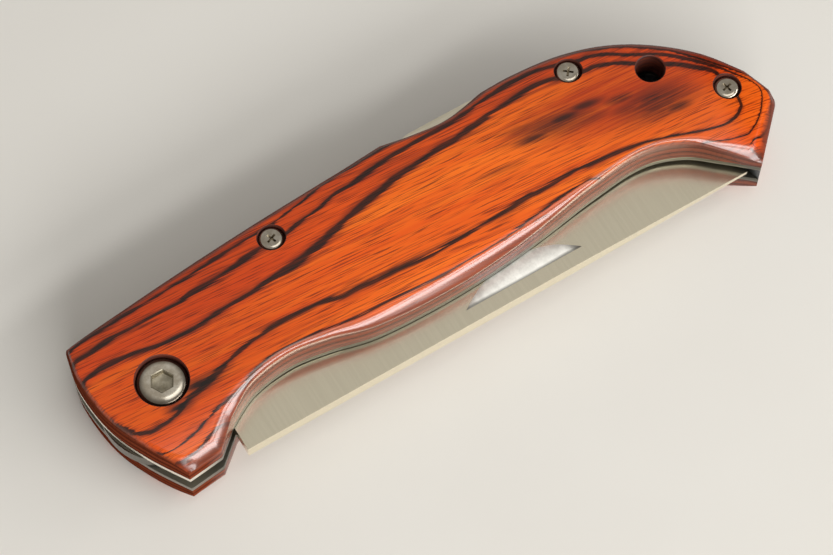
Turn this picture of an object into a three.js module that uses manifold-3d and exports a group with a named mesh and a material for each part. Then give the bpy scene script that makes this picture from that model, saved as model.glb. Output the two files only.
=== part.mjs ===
// Folding lock-back pocket knife, closed and lying on its lower scale. Millimetres, +Z up.
// X runs from the blade pivot to the butt, Y towards the back of the handle.
// The origin is on the flat of the lower scale, in the middle of the handle's length.
import * as THREE from 'three';
import Module from 'manifold-3d';
import { mergeVertices } from 'three/addons/utils/BufferGeometryUtils.js';

// Handle, seen from above with the blade pivot at X 0, Y 0
const HANDLE_LENGTH = 113.8;
const FRONT_OVER_TANG = 0.5;
const BACK_OVER_TANG = 2.1;
const BEAK_UNDER_TANG = 3.5;
const HUMP_HEIGHT = 17.3;
const BUTT_CORNER_RADIUS = 2.6;
const ARCH_FROM_BUTT = 44.9;

// Handle in section: two crowned scales on two flat liners
const SCALE_THICKNESS = 5.15;
const LINER_THICKNESS = 1.0;
const CROWN_FLAT = 10.0;
const CROWN_HALF_WIDTH = 16.0;
const CROWN_DROP = 1.6;
const RIDGE_Y = 1.5;
const EDGE_ROUND_WIDTH = 0.7;
const EDGE_ROUND_HEIGHT = 4.0;
const SHOULDER_WIDTH = 2.2;
const SHOULDER_HEIGHT = 3.0;

// Thumb scoop over the lock bar, measured forward from the butt
const SCOOP_START = 56.3;
const SCOOP_LENGTH = 18.0;
const SCOOP_DEPTH = 1.6;

// Blade
const BLADE_THICKNESS = 2.5;
const BLADE_HEIGHT = 16.0;
const SPINE_BELOW_PIVOT = 13.5;
const TIP_FROM_BUTT = 9.3;
const BELLY_LENGTH = 34.0;
const TIP_THICKNESS = 0.8;
const TAPER_LENGTH = 32.0;
const GRIND_HEIGHT = 9.0;
const EDGE_THICKNESS = 0.3;
const TANG_RADIUS = 10.1;
const TANG_STEP_X = 6.2;
const EDGE_START_X = 14.5;

// Nail nick in the upper face of the blade, near its spine
const NICK_LENGTH = 21.0;
const NICK_HEIGHT = 3.6;
const NICK_DEPTH = 0.7;
const NICK_FROM_SPINE = 2.4;
const NICK_CENTRE_FROM_TIP = 38.4;

// Lock bar, its lug and the leaf spring that presses it
const LUG_LENGTH = 2.85;
const LUG_DROP = 0.9;
const LOCK_PLAY = 0.15;
const LOCK_BAR_DEPTH = 6.6;
const THUMB_RISE = 2.85;
const LOCK_PAST_SCOOP = 2.2;
const SPRING_THICKNESS = 0.8;
const SPRING_LENGTH = 27.0;
const SPRING_WIDTH = 2.3;
const SPRING_FOOT_LENGTH = 5.5;
const SPRING_FOOT_DROP = 1.9;
const SPRING_BOW = 0.9;

// Pivot: a barrel with a hex-socket button screw in each end
const PIVOT_BARREL_RADIUS = 2.5;
const PIVOT_SCREW_RADIUS = 1.5;
const PIVOT_HEAD_RADIUS = 3.5;
const PIVOT_HEAD_HEIGHT = 2.2;
const PIVOT_RECESS_RADIUS = 4.0;
const PIVOT_RECESS_DEPTH = 2.7;
const HEX_ACROSS_FLATS = 3.05;
const HEX_DEPTH = 1.4;
const WASHER_RADIUS = 4.6;
const WASHER_THICKNESS = 0.15;

// Three handle pins: a barrel with a cross-recess button screw in each end
const PIN_RADIUS = 1.6;
const PIN_SCREW_RADIUS = 0.85;
const PIN_HEAD_RADIUS = 1.7;
const PIN_HEAD_HEIGHT = 1.3;
const PIN_RECESS_RADIUS = 2.15;
const PIN_RECESS_DEPTH = 2.1;
const CROSS_WIDTH = 0.45;
const CROSS_LENGTH = 1.9;
const CROSS_DEPTH = 0.8;
const THREAD_DEPTH = 1.9;
const ROCKER_X = 25.0;
const ROCKER_BELOW_BACK = 4.2;
const FRONT_PIN_FROM_BUTT = 25.5;
const FRONT_PIN_BELOW_BACK = 4.3;
const REAR_PIN_FROM_BUTT = 6.3;
const REAR_PIN_Y = -2.3;

// Lanyard hole through scales, liners and spacer
const LANYARD_RADIUS = 2.25;
const LANYARD_FROM_BUTT = 14.8;
const LANYARD_BELOW_BACK = 6.4;

// Clearances
const PLAY = 0.05;
const SCREW_PLAY = 0.1;
const SPACER_GAP = 1.0;
const BLADE_GAP = 1.6;

// Heights and places that follow from the sizes above
const channel = BLADE_THICKNESS + 2 * (WASHER_THICKNESS + PLAY);
const linerOuter = channel / 2 + LINER_THICKNESS;
const halfKnife = linerOuter + SCALE_THICKNESS;
const frontX = -(TANG_RADIUS + FRONT_OVER_TANG);
const buttX = HANDLE_LENGTH + frontX;
const tipX = buttX - TIP_FROM_BUTT;
const spineY = -SPINE_BELOW_PIVOT;
const edgeY = spineY + BLADE_HEIGHT;
const frontBackY = TANG_RADIUS + BACK_OVER_TANG;
const beakY = -(TANG_RADIUS + BEAK_UNDER_TANG);

const STEEL = { color: 0xb9b6ae, roughness: 0.28, metalness: 1.0 };
const BRUSHED = { color: 0xa9a69d, roughness: 0.4, metalness: 1.0 };
const BLUED = { color: 0x3b434b, roughness: 0.45, metalness: 0.9 };
const BRONZE = { color: 0x9a6a35, roughness: 0.4, metalness: 1.0 };
const WOOD = { color: 0xc4521d, roughness: 0.35, metalness: 0.0 };

const wasm = await Module();
wasm.setup();

// A closed geometry becomes a solid that can be cut and joined
function solid(geometry) {
  const bare = geometry.clone();
  bare.deleteAttribute('normal');
  bare.deleteAttribute('uv');
  const merged = mergeVertices(bare, 1e-5);
  const vertProperties = new Float32Array(merged.attributes.position.array);
  const triVerts = new Uint32Array(merged.index.array);
  return new wasm.Manifold(new wasm.Mesh({ numProp: 3, vertProperties, triVerts }));
}

function geometryOf(body) {
  const mesh = body.getMesh();
  const geometry = new THREE.BufferGeometry();
  geometry.setAttribute('position', new THREE.BufferAttribute(mesh.vertProperties, 3));
  geometry.setIndex(new THREE.BufferAttribute(mesh.triVerts, 1));
  geometry.computeVertexNormals();
  return geometry;
}

function cut(body, ...tools) {
  let result = body;
  for (const tool of tools) result = result.subtract(tool);
  return result;
}

// Points along a smooth curve through the given points
function smooth(points, perSpan) {
  const curve = new THREE.SplineCurve(points.map(([x, y]) => new THREE.Vector2(x, y)));
  return curve.getPoints((points.length - 1) * perSpan);
}

function arc(cx, cy, radius, fromAngle, toAngle, steps) {
  const points = [];
  for (let i = 0; i <= steps; i += 1) {
    const angle = fromAngle + ((toAngle - fromAngle) * i) / steps;
    points.push(new THREE.Vector2(cx + radius * Math.cos(angle), cy + radius * Math.sin(angle)));
  }
  return points;
}

// Joins runs of points into one outline, dropping the points where two runs meet
function chain(...runs) {
  const points = [];
  for (const point of runs.flat()) {
    const last = points[points.length - 1];
    if (!last || last.distanceTo(point) > 1e-3) points.push(point);
  }
  if (points[0].distanceTo(points[points.length - 1]) < 1e-3) points.pop();
  return points;
}

const at = (x, y) => new THREE.Vector2(x, y);

// A flat plate of the given outline from one height to another
function plate(points, low, high) {
  const geometry = new THREE.ExtrudeGeometry(new THREE.Shape(points), {
    depth: high - low,
    bevelEnabled: false,
  });
  return geometry.translate(0, 0, low);
}

function disc(x, y, radius, low, high, segments = 28) {
  return plate(arc(x, y, radius, 0, 2 * Math.PI * (1 - 1 / segments), segments - 1), low, high);
}

// An outline in the X Z plane, drawn out along Y
function plateAlongY(points, low, high) {
  const geometry = new THREE.ExtrudeGeometry(new THREE.Shape(points), {
    depth: high - low,
    bevelEnabled: false,
  });
  return geometry.rotateX(Math.PI / 2).translate(0, high, 0);
}

// An outline given as Y and Z, drawn out along X
function plateAlongX(points, low, high) {
  const geometry = new THREE.ExtrudeGeometry(new THREE.Shape(points), {
    depth: high - low,
    bevelEnabled: false,
  });
  const turn = new THREE.Matrix4().makeBasis(
    new THREE.Vector3(0, 1, 0),
    new THREE.Vector3(0, 0, 1),
    new THREE.Vector3(1, 0, 0),
  );
  return geometry.applyMatrix4(turn).translate(low, 0, 0);
}

// A profile of radius and height, turned about Z
function turned(profile, segments) {
  const points = profile.map(([r, z]) => new THREE.Vector2(r, z));
  return new THREE.LatheGeometry(points, segments).rotateX(Math.PI / 2);
}

// The same piece for the lower side of the knife
function mirrored(geometry) {
  const copy = geometry.index ? geometry.clone() : mergeVertices(geometry);
  copy.scale(1, 1, -1);
  const index = copy.index.array;
  for (let i = 0; i < index.length; i += 3) {
    const swap = index[i + 1];
    index[i + 1] = index[i + 2];
    index[i + 2] = swap;
  }
  copy.computeVertexNormals();
  return copy;
}

// Back line of the handle, from the front corner to the hump before the scoop
const humpX = buttX - SCOOP_START;
const backRun = smooth([
  [frontX + 0.9, frontBackY - 0.3],
  [-3.4, frontBackY + 0.7],
  [9.0, frontBackY + 2.2],
  [ROCKER_X, frontBackY + 3.7],
  [humpX, HUMP_HEIGHT],
], 4);

const scoopRun = smooth([
  [humpX, HUMP_HEIGHT],
  [humpX + 0.3 * SCOOP_LENGTH, HUMP_HEIGHT - 0.7 * SCOOP_DEPTH],
  [humpX + 0.62 * SCOOP_LENGTH, HUMP_HEIGHT - SCOOP_DEPTH],
  [humpX + SCOOP_LENGTH, HUMP_HEIGHT],
], 4);

// Round of the butt, from behind the scoop to the corner that points backwards
const scoopEndX = humpX + SCOOP_LENGTH;
const buttRun = smooth([
  [scoopEndX, HUMP_HEIGHT],
  [buttX - 32.2, HUMP_HEIGHT + 0.2],
  [buttX - 24.6, HUMP_HEIGHT - 0.6],
  [buttX - 18.0, HUMP_HEIGHT - 2.9],
  [buttX - 11.8, HUMP_HEIGHT - 6.8],
  [buttX - 6.1, HUMP_HEIGHT - 12.1],
  [buttX - 1.8, HUMP_HEIGHT - 18.0],
], 3);
const cornerCentreX = buttX - BUTT_CORNER_RADIUS;
const cornerCentreY = HUMP_HEIGHT - 23.2;
const cornerRun = arc(cornerCentreX, cornerCentreY, BUTT_CORNER_RADIUS, 0.36, -0.81, 5);

// Underside of the handle, from the butt corner through the arch and the belly to the choil
const lowerButtX = buttX - 7.9;
const lowerButtY = beakY - 1.2;
const bellyEndX = buttX - ARCH_FROM_BUTT;
const bellyRun = smooth([
  [lowerButtX, lowerButtY],
  [buttX - 12.4, -10.8],
  [buttX - 17.1, -7.1],
  [buttX - 23.5, -5.2],
  [buttX - 33.0, -5.95],
  [bellyEndX, -7.75],
  [(bellyEndX + 32.0) / 2, -8.75],
  [32.0, -8.4],
  [24.1, -6.7],
  [17.8, -5.9],
  [11.2, -6.9],
  [TANG_STEP_X + 0.1, -9.5],
], 3);
const beakTipX = TANG_STEP_X - 3.9;
const frontLowX = frontX + 7.2;

// Rounded front end, from the beak's corner up to the back
const frontRun = smooth([
  [frontLowX, beakY],
  [frontX + 3.6, beakY + 6.0],
  [frontX + 0.9, beakY + 12.5],
  [frontX, beakY + 20.0],
  [frontX + 0.9, frontBackY - 0.3],
], 3);

// Sharp corners of the handle; the outline runs straight into them, so the edges can be rounded
const sharpCorners = [
  at(frontX + 0.9, frontBackY - 0.3),
  at(frontLowX, beakY),
  at(beakTipX, beakY + 0.6),
  at(lowerButtX, lowerButtY),
];
const handleOutline = chain(
  frontRun.toReversed(),
  [at(frontLowX, beakY), at(beakTipX, beakY + 0.6)],
  bellyRun.toReversed(),
  cornerRun.toReversed(),
  buttRun.toReversed(),
  scoopRun.toReversed(),
  backRun.toReversed(),
).filter((point) => sharpCorners.every((corner) => {
  const away = point.distanceTo(corner);
  return away < 0.01 || away > 1.35 * EDGE_ROUND_WIDTH;
}));

const archX = (share) => bellyEndX + share * (lowerButtX - bellyEndX);

// Outline of the broader shoulder, which passes outside the handle at its front and its arches
const shoulderOutline = chain(
  [
    at(frontX - 3.5, frontBackY - 0.4),
    at(frontX - 3.5, beakY + 7.0),
    at(frontLowX, beakY),
    at(beakTipX, beakY + 0.6),
    at(8.0, -9.9),
  ],
  smooth([[16.0, -8.4], [26.0, -8.3], [32.0, -8.45]], 2),
  bellyRun.filter((point) => point.x > 33.0 && point.x < bellyEndX - 3.0).toReversed(),
  smooth([[bellyEndX, -7.95], [archX(0.24), -7.9], [archX(0.51), -8.3], [archX(0.754), -9.9]], 3),
  [at(lowerButtX, lowerButtY)],
  cornerRun.toReversed(),
  buttRun.toReversed(),
  scoopRun.toReversed(),
  backRun.filter((point) => point.x > -8.0).toReversed(),
);

// Height of the handle's back above the pivot at a given X, the scoop left out
function backHeight(x) {
  const run = backRun.concat(buttRun).sort((a, b) => a.x - b.x);
  for (let i = 1; i < run.length; i += 1) {
    if (x <= run[i].x) {
      const share = (x - run[i - 1].x) / (run[i].x - run[i - 1].x || 1);
      return run[i - 1].y + share * (run[i].y - run[i - 1].y);
    }
  }
  return run[run.length - 1].y;
}

const rocker = at(ROCKER_X, backHeight(ROCKER_X) - ROCKER_BELOW_BACK);
const frontPinX = buttX - FRONT_PIN_FROM_BUTT;
const frontPin = at(frontPinX, backHeight(frontPinX) - FRONT_PIN_BELOW_BACK);
const rearPin = at(buttX - REAR_PIN_FROM_BUTT, REAR_PIN_Y);
const lanyardX = buttX - LANYARD_FROM_BUTT;
const lanyard = at(lanyardX, backHeight(lanyardX) - LANYARD_BELOW_BACK);
const pins = [rocker, frontPin, rearPin];

// Scale: laminated wood plate, cut down by a crown that turns round the butt, edges rounded
function crownHeight(fromRidge) {
  const beyond = Math.max(0, fromRidge - CROWN_FLAT / 2);
  const share = beyond / (CROWN_HALF_WIDTH - CROWN_FLAT / 2);
  return SCALE_THICKNESS - CROWN_DROP * share * share;
}

function crown() {
  const reach = CROWN_HALF_WIDTH * 1.35;
  const rings = 7;
  const profile = [[reach, 0]];
  for (let i = 0; i <= rings; i += 1) {
    const r = reach + ((CROWN_FLAT / 2 - reach) * i) / rings;
    profile.push([r, crownHeight(r)]);
  }
  const half = profile.map(([r, z]) => at(RIDGE_Y + r, z));
  const other = profile.map(([r, z]) => at(RIDGE_Y - r, z)).toReversed();
  const turnX = buttX - CROWN_HALF_WIDTH;
  const barrel = solid(plateAlongX(half.concat(other), frontX - 1, turnX));
  const dome = turned([[0, 0], ...profile, [0, SCALE_THICKNESS]], 48).translate(turnX, RIDGE_Y, 0);
  return barrel.add(solid(dome));
}

// A block of the given outline, as deep as two scales, with its edges rounded over
function roundedBlock(outline, width, height) {
  const straight = SCALE_THICKNESS - height;
  return new THREE.ExtrudeGeometry(new THREE.Shape(outline), {
    depth: 2 * straight,
    bevelEnabled: true,
    bevelThickness: height,
    bevelSize: width,
    bevelOffset: -width,
    bevelSegments: 4,
  }).translate(0, 0, -straight);
}

function scaleGeometry() {
  const top = SCALE_THICKNESS + 1;
  const recessFloor = SCALE_THICKNESS - PIVOT_RECESS_DEPTH;
  const tools = [
    solid(disc(0, 0, PIVOT_RECESS_RADIUS, recessFloor, top, 36)),
    solid(disc(0, 0, PIVOT_SCREW_RADIUS + SCREW_PLAY, -1, recessFloor + 1)),
    solid(disc(lanyard.x, lanyard.y, LANYARD_RADIUS, -1, top)),
  ];
  for (const pin of pins) {
    const floor = SCALE_THICKNESS - PIN_RECESS_DEPTH;
    tools.push(solid(disc(pin.x, pin.y, PIN_RECESS_RADIUS, floor, top)));
    tools.push(solid(disc(pin.x, pin.y, PIN_SCREW_RADIUS + SCREW_PLAY, -1, floor + 1, 20)));
  }
  const body = solid(roundedBlock(handleOutline, EDGE_ROUND_WIDTH, EDGE_ROUND_HEIGHT))
    .intersect(solid(roundedBlock(shoulderOutline, SHOULDER_WIDTH, SHOULDER_HEIGHT)))
    .intersect(crown());
  return geometryOf(cut(body, ...tools)).translate(0, 0, linerOuter);
}

// Liner: flat steel plate of the handle's outline, drilled for the pivot, pins and lanyard
function linerGeometry() {
  const low = channel / 2;
  const tools = [
    solid(disc(0, 0, PIVOT_BARREL_RADIUS + PLAY, 0, halfKnife)),
    solid(disc(lanyard.x, lanyard.y, LANYARD_RADIUS, 0, halfKnife)),
  ];
  for (const pin of pins) tools.push(solid(disc(pin.x, pin.y, PIN_RADIUS + PLAY, 0, halfKnife, 20)));
  return geometryOf(cut(solid(plate(handleOutline, low, linerOuter)), ...tools));
}

// Blade: straight spine, belly rising to the tip, a round tang with a lock notch and a flat
const notchFloor = TANG_RADIUS - LUG_DROP - 2 * PLAY - 0.1;
const notchRearX = TANG_STEP_X - LUG_LENGTH - 3 * LOCK_PLAY;
const lugAngle = Math.atan2(notchFloor, -(TANG_STEP_X - LUG_LENGTH / 2));
const flatSpread = Math.acos((notchFloor - PLAY) / TANG_RADIUS);

function bladeGeometry() {
  const belly = smooth([
    [tipX, spineY + 0.2],
    [tipX - 0.118 * BELLY_LENGTH, spineY + 6.0],
    [tipX - 0.28 * BELLY_LENGTH, spineY + 10.8],
    [tipX - 0.5 * BELLY_LENGTH, spineY + 14.3],
    [tipX - 0.794 * BELLY_LENGTH, spineY + 15.9],
    [tipX - BELLY_LENGTH, edgeY],
  ].map(([x, y]) => [x, Math.min(y, edgeY)]), 3);
  const throat = at(TANG_RADIUS + 1.2, edgeY - 1.2);
  const tangStart = Math.asin(edgeY / TANG_RADIUS) + 0.15;
  const notchSide = -Math.acos(notchRearX / TANG_RADIUS);
  const outline = chain(
    [at(TANG_STEP_X, spineY), at(tipX, spineY)],
    belly,
    [at(EDGE_START_X, edgeY), at(EDGE_START_X - 1.0, throat.y), throat],
    arc(0, 0, TANG_RADIUS, tangStart, lugAngle - flatSpread, 7),
    arc(0, 0, TANG_RADIUS, lugAngle + flatSpread, 2 * Math.PI + notchSide, 18),
    arc(0, 0, notchFloor, -Math.acos(notchRearX / notchFloor), -Math.acos(TANG_STEP_X / notchFloor), 4),
  );
  const half = BLADE_THICKNESS / 2;
  const grindY = edgeY - GRIND_HEIGHT;
  const slope = (half - EDGE_THICKNESS / 2) / GRIND_HEIGHT;
  const wedge = [
    at(grindY, half),
    at(edgeY + 1, half - slope * (GRIND_HEIGHT + 1)),
    at(edgeY + 1, half + 1),
    at(grindY, half + 1),
  ];
  const grind = plateAlongX(wedge, EDGE_START_X, tipX + 1);
  const taperX = tipX - TAPER_LENGTH;
  const distal = plateAlongY([
    at(frontX - 5, -half),
    at(taperX, -half),
    at(tipX, -TIP_THICKNESS / 2),
    at(tipX + 1, -TIP_THICKNESS / 2),
    at(tipX + 1, TIP_THICKNESS / 2),
    at(tipX, TIP_THICKNESS / 2),
    at(taperX, half),
    at(frontX - 5, half),
  ], spineY - 1, TANG_RADIUS + 1);
  const barrelHole = disc(0, 0, PIVOT_BARREL_RADIUS + PLAY, -BLADE_THICKNESS, BLADE_THICKNESS);
  const blank = solid(plate(outline, -half, half)).intersect(solid(distal));
  return geometryOf(cut(blank, solid(grind), solid(mirrored(grind)), nickCutter(), solid(barrelHole)));
}

// Nail nick: the rim of a large tilted wheel leaves a straight wall and an arched lip
function nickCutter() {
  const wheel = (NICK_LENGTH * NICK_LENGTH) / (8 * NICK_DEPTH);
  const tilt = Math.atan(NICK_DEPTH / NICK_HEIGHT);
  const width = NICK_HEIGHT * 1.5;
  const rim = new THREE.CylinderGeometry(wheel, wheel, width, 220)
    .translate(0, width / 2, wheel)
    .rotateX(tilt)
    .translate(tipX - NICK_CENTRE_FROM_TIP, spineY + NICK_FROM_SPINE, BLADE_THICKNESS / 2 - NICK_DEPTH);
  return solid(rim);
}

// Lock bar: rocks on its pin, with the lug over the tang and the thumb pad in the scoop
const lockBarThickness = BLADE_THICKNESS;
const lockRearX = scoopEndX + LOCK_PAST_SCOOP;
const neckRadius = TANG_RADIUS + LUG_DROP + LOCK_PLAY + 0.2;
const lugFrontX = -(TANG_STEP_X - LOCK_PLAY);
const lugRearX = lugFrontX + LUG_LENGTH;

function lockBarGeometry() {
  const rideRadius = TANG_RADIUS + LOCK_PLAY;
  const lugFrom = Math.acos(lugFrontX / rideRadius);
  const lugTo = Math.acos(lugRearX / rideRadius);
  const neckFrom = Math.acos(lugRearX / neckRadius);
  const neckTo = neckFrom - 0.95;
  const padY = HUMP_HEIGHT - SCOOP_DEPTH + THUMB_RISE;
  const under = (x) => backHeight(x) - LOCK_BAR_DEPTH;
  const outline = chain(
    arc(0, 0, rideRadius, lugFrom, lugTo, 4),
    arc(0, 0, neckRadius, neckFrom, neckTo, 6),
    smooth([
      [neckRadius * Math.cos(neckTo) + 4.0, under(12.0)],
      [ROCKER_X - 5.0, rocker.y - 3.6],
      [ROCKER_X + 4.0, rocker.y - 3.8],
      [humpX, under(humpX) - 0.6],
      [lockRearX - 9.0, under(lockRearX) + 1.0],
      [lockRearX, under(lockRearX) + 2.4],
    ], 3),
    [at(lockRearX + 0.6, padY - 3.0), at(lockRearX + 0.2, HUMP_HEIGHT - 0.7)],
    smooth([
      [scoopEndX + 1.2, HUMP_HEIGHT - 0.1],
      [scoopEndX - 0.4, padY - 0.15],
      [scoopEndX - 4.0, padY],
      [humpX + 6.5, padY],
      [humpX + 4.5, padY - 0.25],
      [humpX + 0.5, padY - 0.9],
      [humpX - 3.0, backHeight(humpX - 3.0) - 0.1],
    ], 3),
    backRun.filter((p) => p.x < humpX - 6 && p.x > lugFrontX + 1).toReversed()
      .map((p) => at(p.x, p.y - 0.15)),
    [at(lugFrontX, backHeight(lugFrontX) - 0.3)],
  );
  const bar = solid(plate(outline, -lockBarThickness / 2, lockBarThickness / 2));
  const hole = disc(rocker.x, rocker.y, PIN_RADIUS + PLAY, -channel, channel, 20);
  return geometryOf(bar.subtract(solid(hole))).translate(-rocker.x, -rocker.y, 0);
}

// Back spacer: fills the channel round the butt and holds the foot of the leaf spring
const spacerX = lockRearX + 0.6 + SPACER_GAP;
const springRootX = spacerX + SPRING_FOOT_LENGTH;
const springY = backHeight(lockRearX) - LOCK_BAR_DEPTH - SPRING_FOOT_DROP;

function spacerGeometry() {
  const outer = handleOutline.filter((p) => p.x > spacerX && (p.y > lowerButtY + 0.5) && p.x > lowerButtX - 28
    && (p.y > 0 || p.x > lowerButtX));
  const innerLow = springY - 2.4;
  const legX = tipX + SPACER_GAP;
  const inner = smooth([
    [spacerX, innerLow],
    [frontPin.x + 1.0, innerLow - 0.2],
    [lanyard.x - 4.0, lanyard.y - LANYARD_RADIUS - BLADE_GAP],
    [lanyard.x + 1.0, lanyard.y - LANYARD_RADIUS - 2 * BLADE_GAP],
    [legX - 0.6, rearPin.y - 3.0],
    [legX, lowerButtY + 1.3],
  ], 3);
  const outline = chain(
    inner,
    [at(lowerButtX, lowerButtY)],
    outer.slice().sort((a, b) => Math.atan2(a.y, a.x - spacerX) - Math.atan2(b.y, b.x - spacerX)),
    [at(spacerX, backHeight(spacerX))],
  );
  const half = channel / 2;
  const slotHalf = SPRING_THICKNESS / 2 + LOCK_PLAY;
  const slot = plate([
    at(spacerX - 1, springY - slotHalf),
    at(springRootX + LOCK_PLAY, springY - slotHalf),
    at(springRootX + LOCK_PLAY, springY + slotHalf),
    at(spacerX - 1, springY + slotHalf),
  ], -channel, channel);
  const holes = [frontPin, rearPin].map((p) => disc(p.x, p.y, PIN_RADIUS + PLAY, -channel, channel, 20));
  holes.push(disc(lanyard.x, lanyard.y, LANYARD_RADIUS, -channel, channel));
  holes.push(slot);
  return geometryOf(cut(solid(plate(outline, -half, half)), ...holes.map(solid)));
}

// Leaf spring: flat foot in the spacer, then a bow that presses up under the lock bar
function springGeometry() {
  const centre = smooth([
    [springRootX, springY],
    [spacerX, springY],
    [spacerX - 0.35 * SPRING_LENGTH, springY - SPRING_BOW],
    [spacerX - 0.7 * SPRING_LENGTH, springY - 0.2],
    [springRootX - SPRING_LENGTH, underBar(springRootX - SPRING_LENGTH) - SPRING_THICKNESS],
  ], 4);
  const half = SPRING_THICKNESS / 2;
  const left = [];
  const right = [];
  centre.forEach((point, i) => {
    const before = centre[Math.max(0, i - 1)];
    const after = centre[Math.min(centre.length - 1, i + 1)];
    const along = after.clone().sub(before).normalize();
    left.push(at(point.x - along.y * half, point.y + along.x * half));
    right.push(at(point.x + along.y * half, point.y - along.x * half));
  });
  return plate(left.concat(right.toReversed()), -SPRING_WIDTH / 2, SPRING_WIDTH / 2);
}

function underBar(x) {
  return backHeight(x) - LOCK_BAR_DEPTH - 0.6;
}

// Barrel between the liners' outer faces, threaded for a screw at each end
function barrelGeometry(radius, screwRadius, segments) {
  const outer = disc(0, 0, radius, -linerOuter, linerOuter, segments);
  const bore = disc(0, 0, screwRadius + SCREW_PLAY, -halfKnife, halfKnife, segments);
  return geometryOf(solid(outer).subtract(solid(bore)));
}

// Button-head screw: domed head in its recess, plain shank down into the barrel
function screwSolid(headRadius, headHeight, shankRadius, recessDepth, segments) {
  const seat = halfKnife - recessDepth;
  const rimHeight = 0.3 * headHeight;
  const crownRings = 4;
  const profile = [[0, linerOuter - THREAD_DEPTH], [shankRadius, linerOuter - THREAD_DEPTH]];
  profile.push([shankRadius, seat], [headRadius, seat]);
  for (let i = 0; i <= crownRings; i += 1) {
    const angle = (i / crownRings) * (Math.PI / 2);
    const r = headRadius * (0.45 + 0.55 * Math.cos(angle));
    profile.push([r, seat + rimHeight + (headHeight - rimHeight) * Math.sin(angle)]);
  }
  profile.push([0, seat + headHeight]);
  return solid(turned(profile, segments));
}

function pivotScrewGeometry() {
  const top = halfKnife - PIVOT_RECESS_DEPTH + PIVOT_HEAD_HEIGHT;
  const corner = HEX_ACROSS_FLATS / Math.sqrt(3);
  const hex = disc(0, 0, corner, top - HEX_DEPTH, top + 1, 6);
  const screw = screwSolid(PIVOT_HEAD_RADIUS, PIVOT_HEAD_HEIGHT, PIVOT_SCREW_RADIUS, PIVOT_RECESS_DEPTH, 32);
  return geometryOf(screw.subtract(solid(hex)));
}

function pinScrewGeometry() {
  const top = halfKnife - PIN_RECESS_DEPTH + PIN_HEAD_HEIGHT;
  const screw = screwSolid(PIN_HEAD_RADIUS, PIN_HEAD_HEIGHT, PIN_SCREW_RADIUS, PIN_RECESS_DEPTH, 20);
  const arms = [[CROSS_LENGTH, CROSS_WIDTH], [CROSS_WIDTH, CROSS_LENGTH]].map(([x, y]) => solid(
    new THREE.BoxGeometry(x, y, 2 * CROSS_DEPTH).translate(0, 0, top),
  ));
  return geometryOf(cut(screw, ...arms));
}

function washerGeometry() {
  const outer = disc(0, 0, WASHER_RADIUS, channel / 2 - WASHER_THICKNESS, channel / 2);
  const inner = disc(0, 0, PIVOT_BARREL_RADIUS + PLAY, 0, channel);
  return geometryOf(solid(outer).subtract(solid(inner)));
}

function piece(name, geometry, look, x = 0, y = 0) {
  const mesh = new THREE.Mesh(geometry, new THREE.MeshStandardMaterial(look));
  mesh.name = name;
  mesh.position.set(x, y, 0);
  return mesh;
}

// Everything is placed about the pivot and the middle of the knife's thickness
const knife = new THREE.Group();
const middle = (frontX + buttX) / 2;
knife.position.set(-middle, -RIDGE_Y, halfKnife);

const upperScale = scaleGeometry();
const upperLiner = linerGeometry();
const upperWasher = washerGeometry();
const pivotScrew = pivotScrewGeometry();
const pinScrew = pinScrewGeometry();
knife.add(
  piece('upper_scale', upperScale, WOOD),
  piece('lower_scale', mirrored(upperScale), WOOD),
  piece('upper_liner', upperLiner, BRUSHED),
  piece('lower_liner', mirrored(upperLiner), BRUSHED),
  piece('blade', bladeGeometry(), STEEL),
  piece('lock_bar', lockBarGeometry(), BRUSHED, rocker.x, rocker.y),
  piece('lock_spring', springGeometry(), BRUSHED),
  piece('back_spacer', spacerGeometry(), BLUED),
  piece('upper_washer', upperWasher, BRONZE),
  piece('lower_washer', mirrored(upperWasher), BRONZE),
  piece('pivot_barrel', barrelGeometry(PIVOT_BARREL_RADIUS, PIVOT_SCREW_RADIUS, 28), STEEL),
  piece('pivot_screw_upper', pivotScrew, STEEL),
  piece('pivot_screw_lower', mirrored(pivotScrew), STEEL),
);

const pinBarrel = barrelGeometry(PIN_RADIUS, PIN_SCREW_RADIUS, 20);
const pinNames = ['rocker_pin', 'front_spacer_pin', 'rear_spacer_pin'];
pinNames.forEach((name, i) => {
  const { x, y } = pins[i];
  knife.add(
    piece(name, pinBarrel.clone(), STEEL, x, y),
    piece(`${name}_screw_upper`, pinScrew.clone(), STEEL, x, y),
    piece(`${name}_screw_lower`, mirrored(pinScrew), STEEL, x, y),
  );
});

const part = new THREE.Group();
part.add(knife);

export default part;
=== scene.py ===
import math

import bpy
import numpy as np
from mathutils import Matrix, Vector


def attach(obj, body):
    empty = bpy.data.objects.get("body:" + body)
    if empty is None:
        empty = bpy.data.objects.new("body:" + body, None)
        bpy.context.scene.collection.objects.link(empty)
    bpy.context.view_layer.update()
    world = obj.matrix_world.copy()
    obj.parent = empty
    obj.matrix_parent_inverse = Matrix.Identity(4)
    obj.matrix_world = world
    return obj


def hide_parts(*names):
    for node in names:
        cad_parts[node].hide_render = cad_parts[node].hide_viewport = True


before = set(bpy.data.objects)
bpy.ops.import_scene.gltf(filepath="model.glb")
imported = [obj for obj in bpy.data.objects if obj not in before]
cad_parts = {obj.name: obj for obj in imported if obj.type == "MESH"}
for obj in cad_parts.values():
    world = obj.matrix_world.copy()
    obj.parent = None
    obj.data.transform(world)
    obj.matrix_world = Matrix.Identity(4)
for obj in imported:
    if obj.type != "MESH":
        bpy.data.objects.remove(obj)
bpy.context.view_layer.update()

# Handle scales
# Two plates of laminated wood, glued up from thin dyed veneers and ground to a crown, so that
# the dark glue seams come to the surface as lines round the handle. They are drilled for the
# screws and the lanyard, oiled and buffed, and held to the liners by the screws.
MM = 0.001
PIVOT = Vector((-46.3, -1.5, 7.6))
SCALE_SEAT = 2.45
SCALE_THICK = 5.15
RIDGE_Y = 1.5
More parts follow.
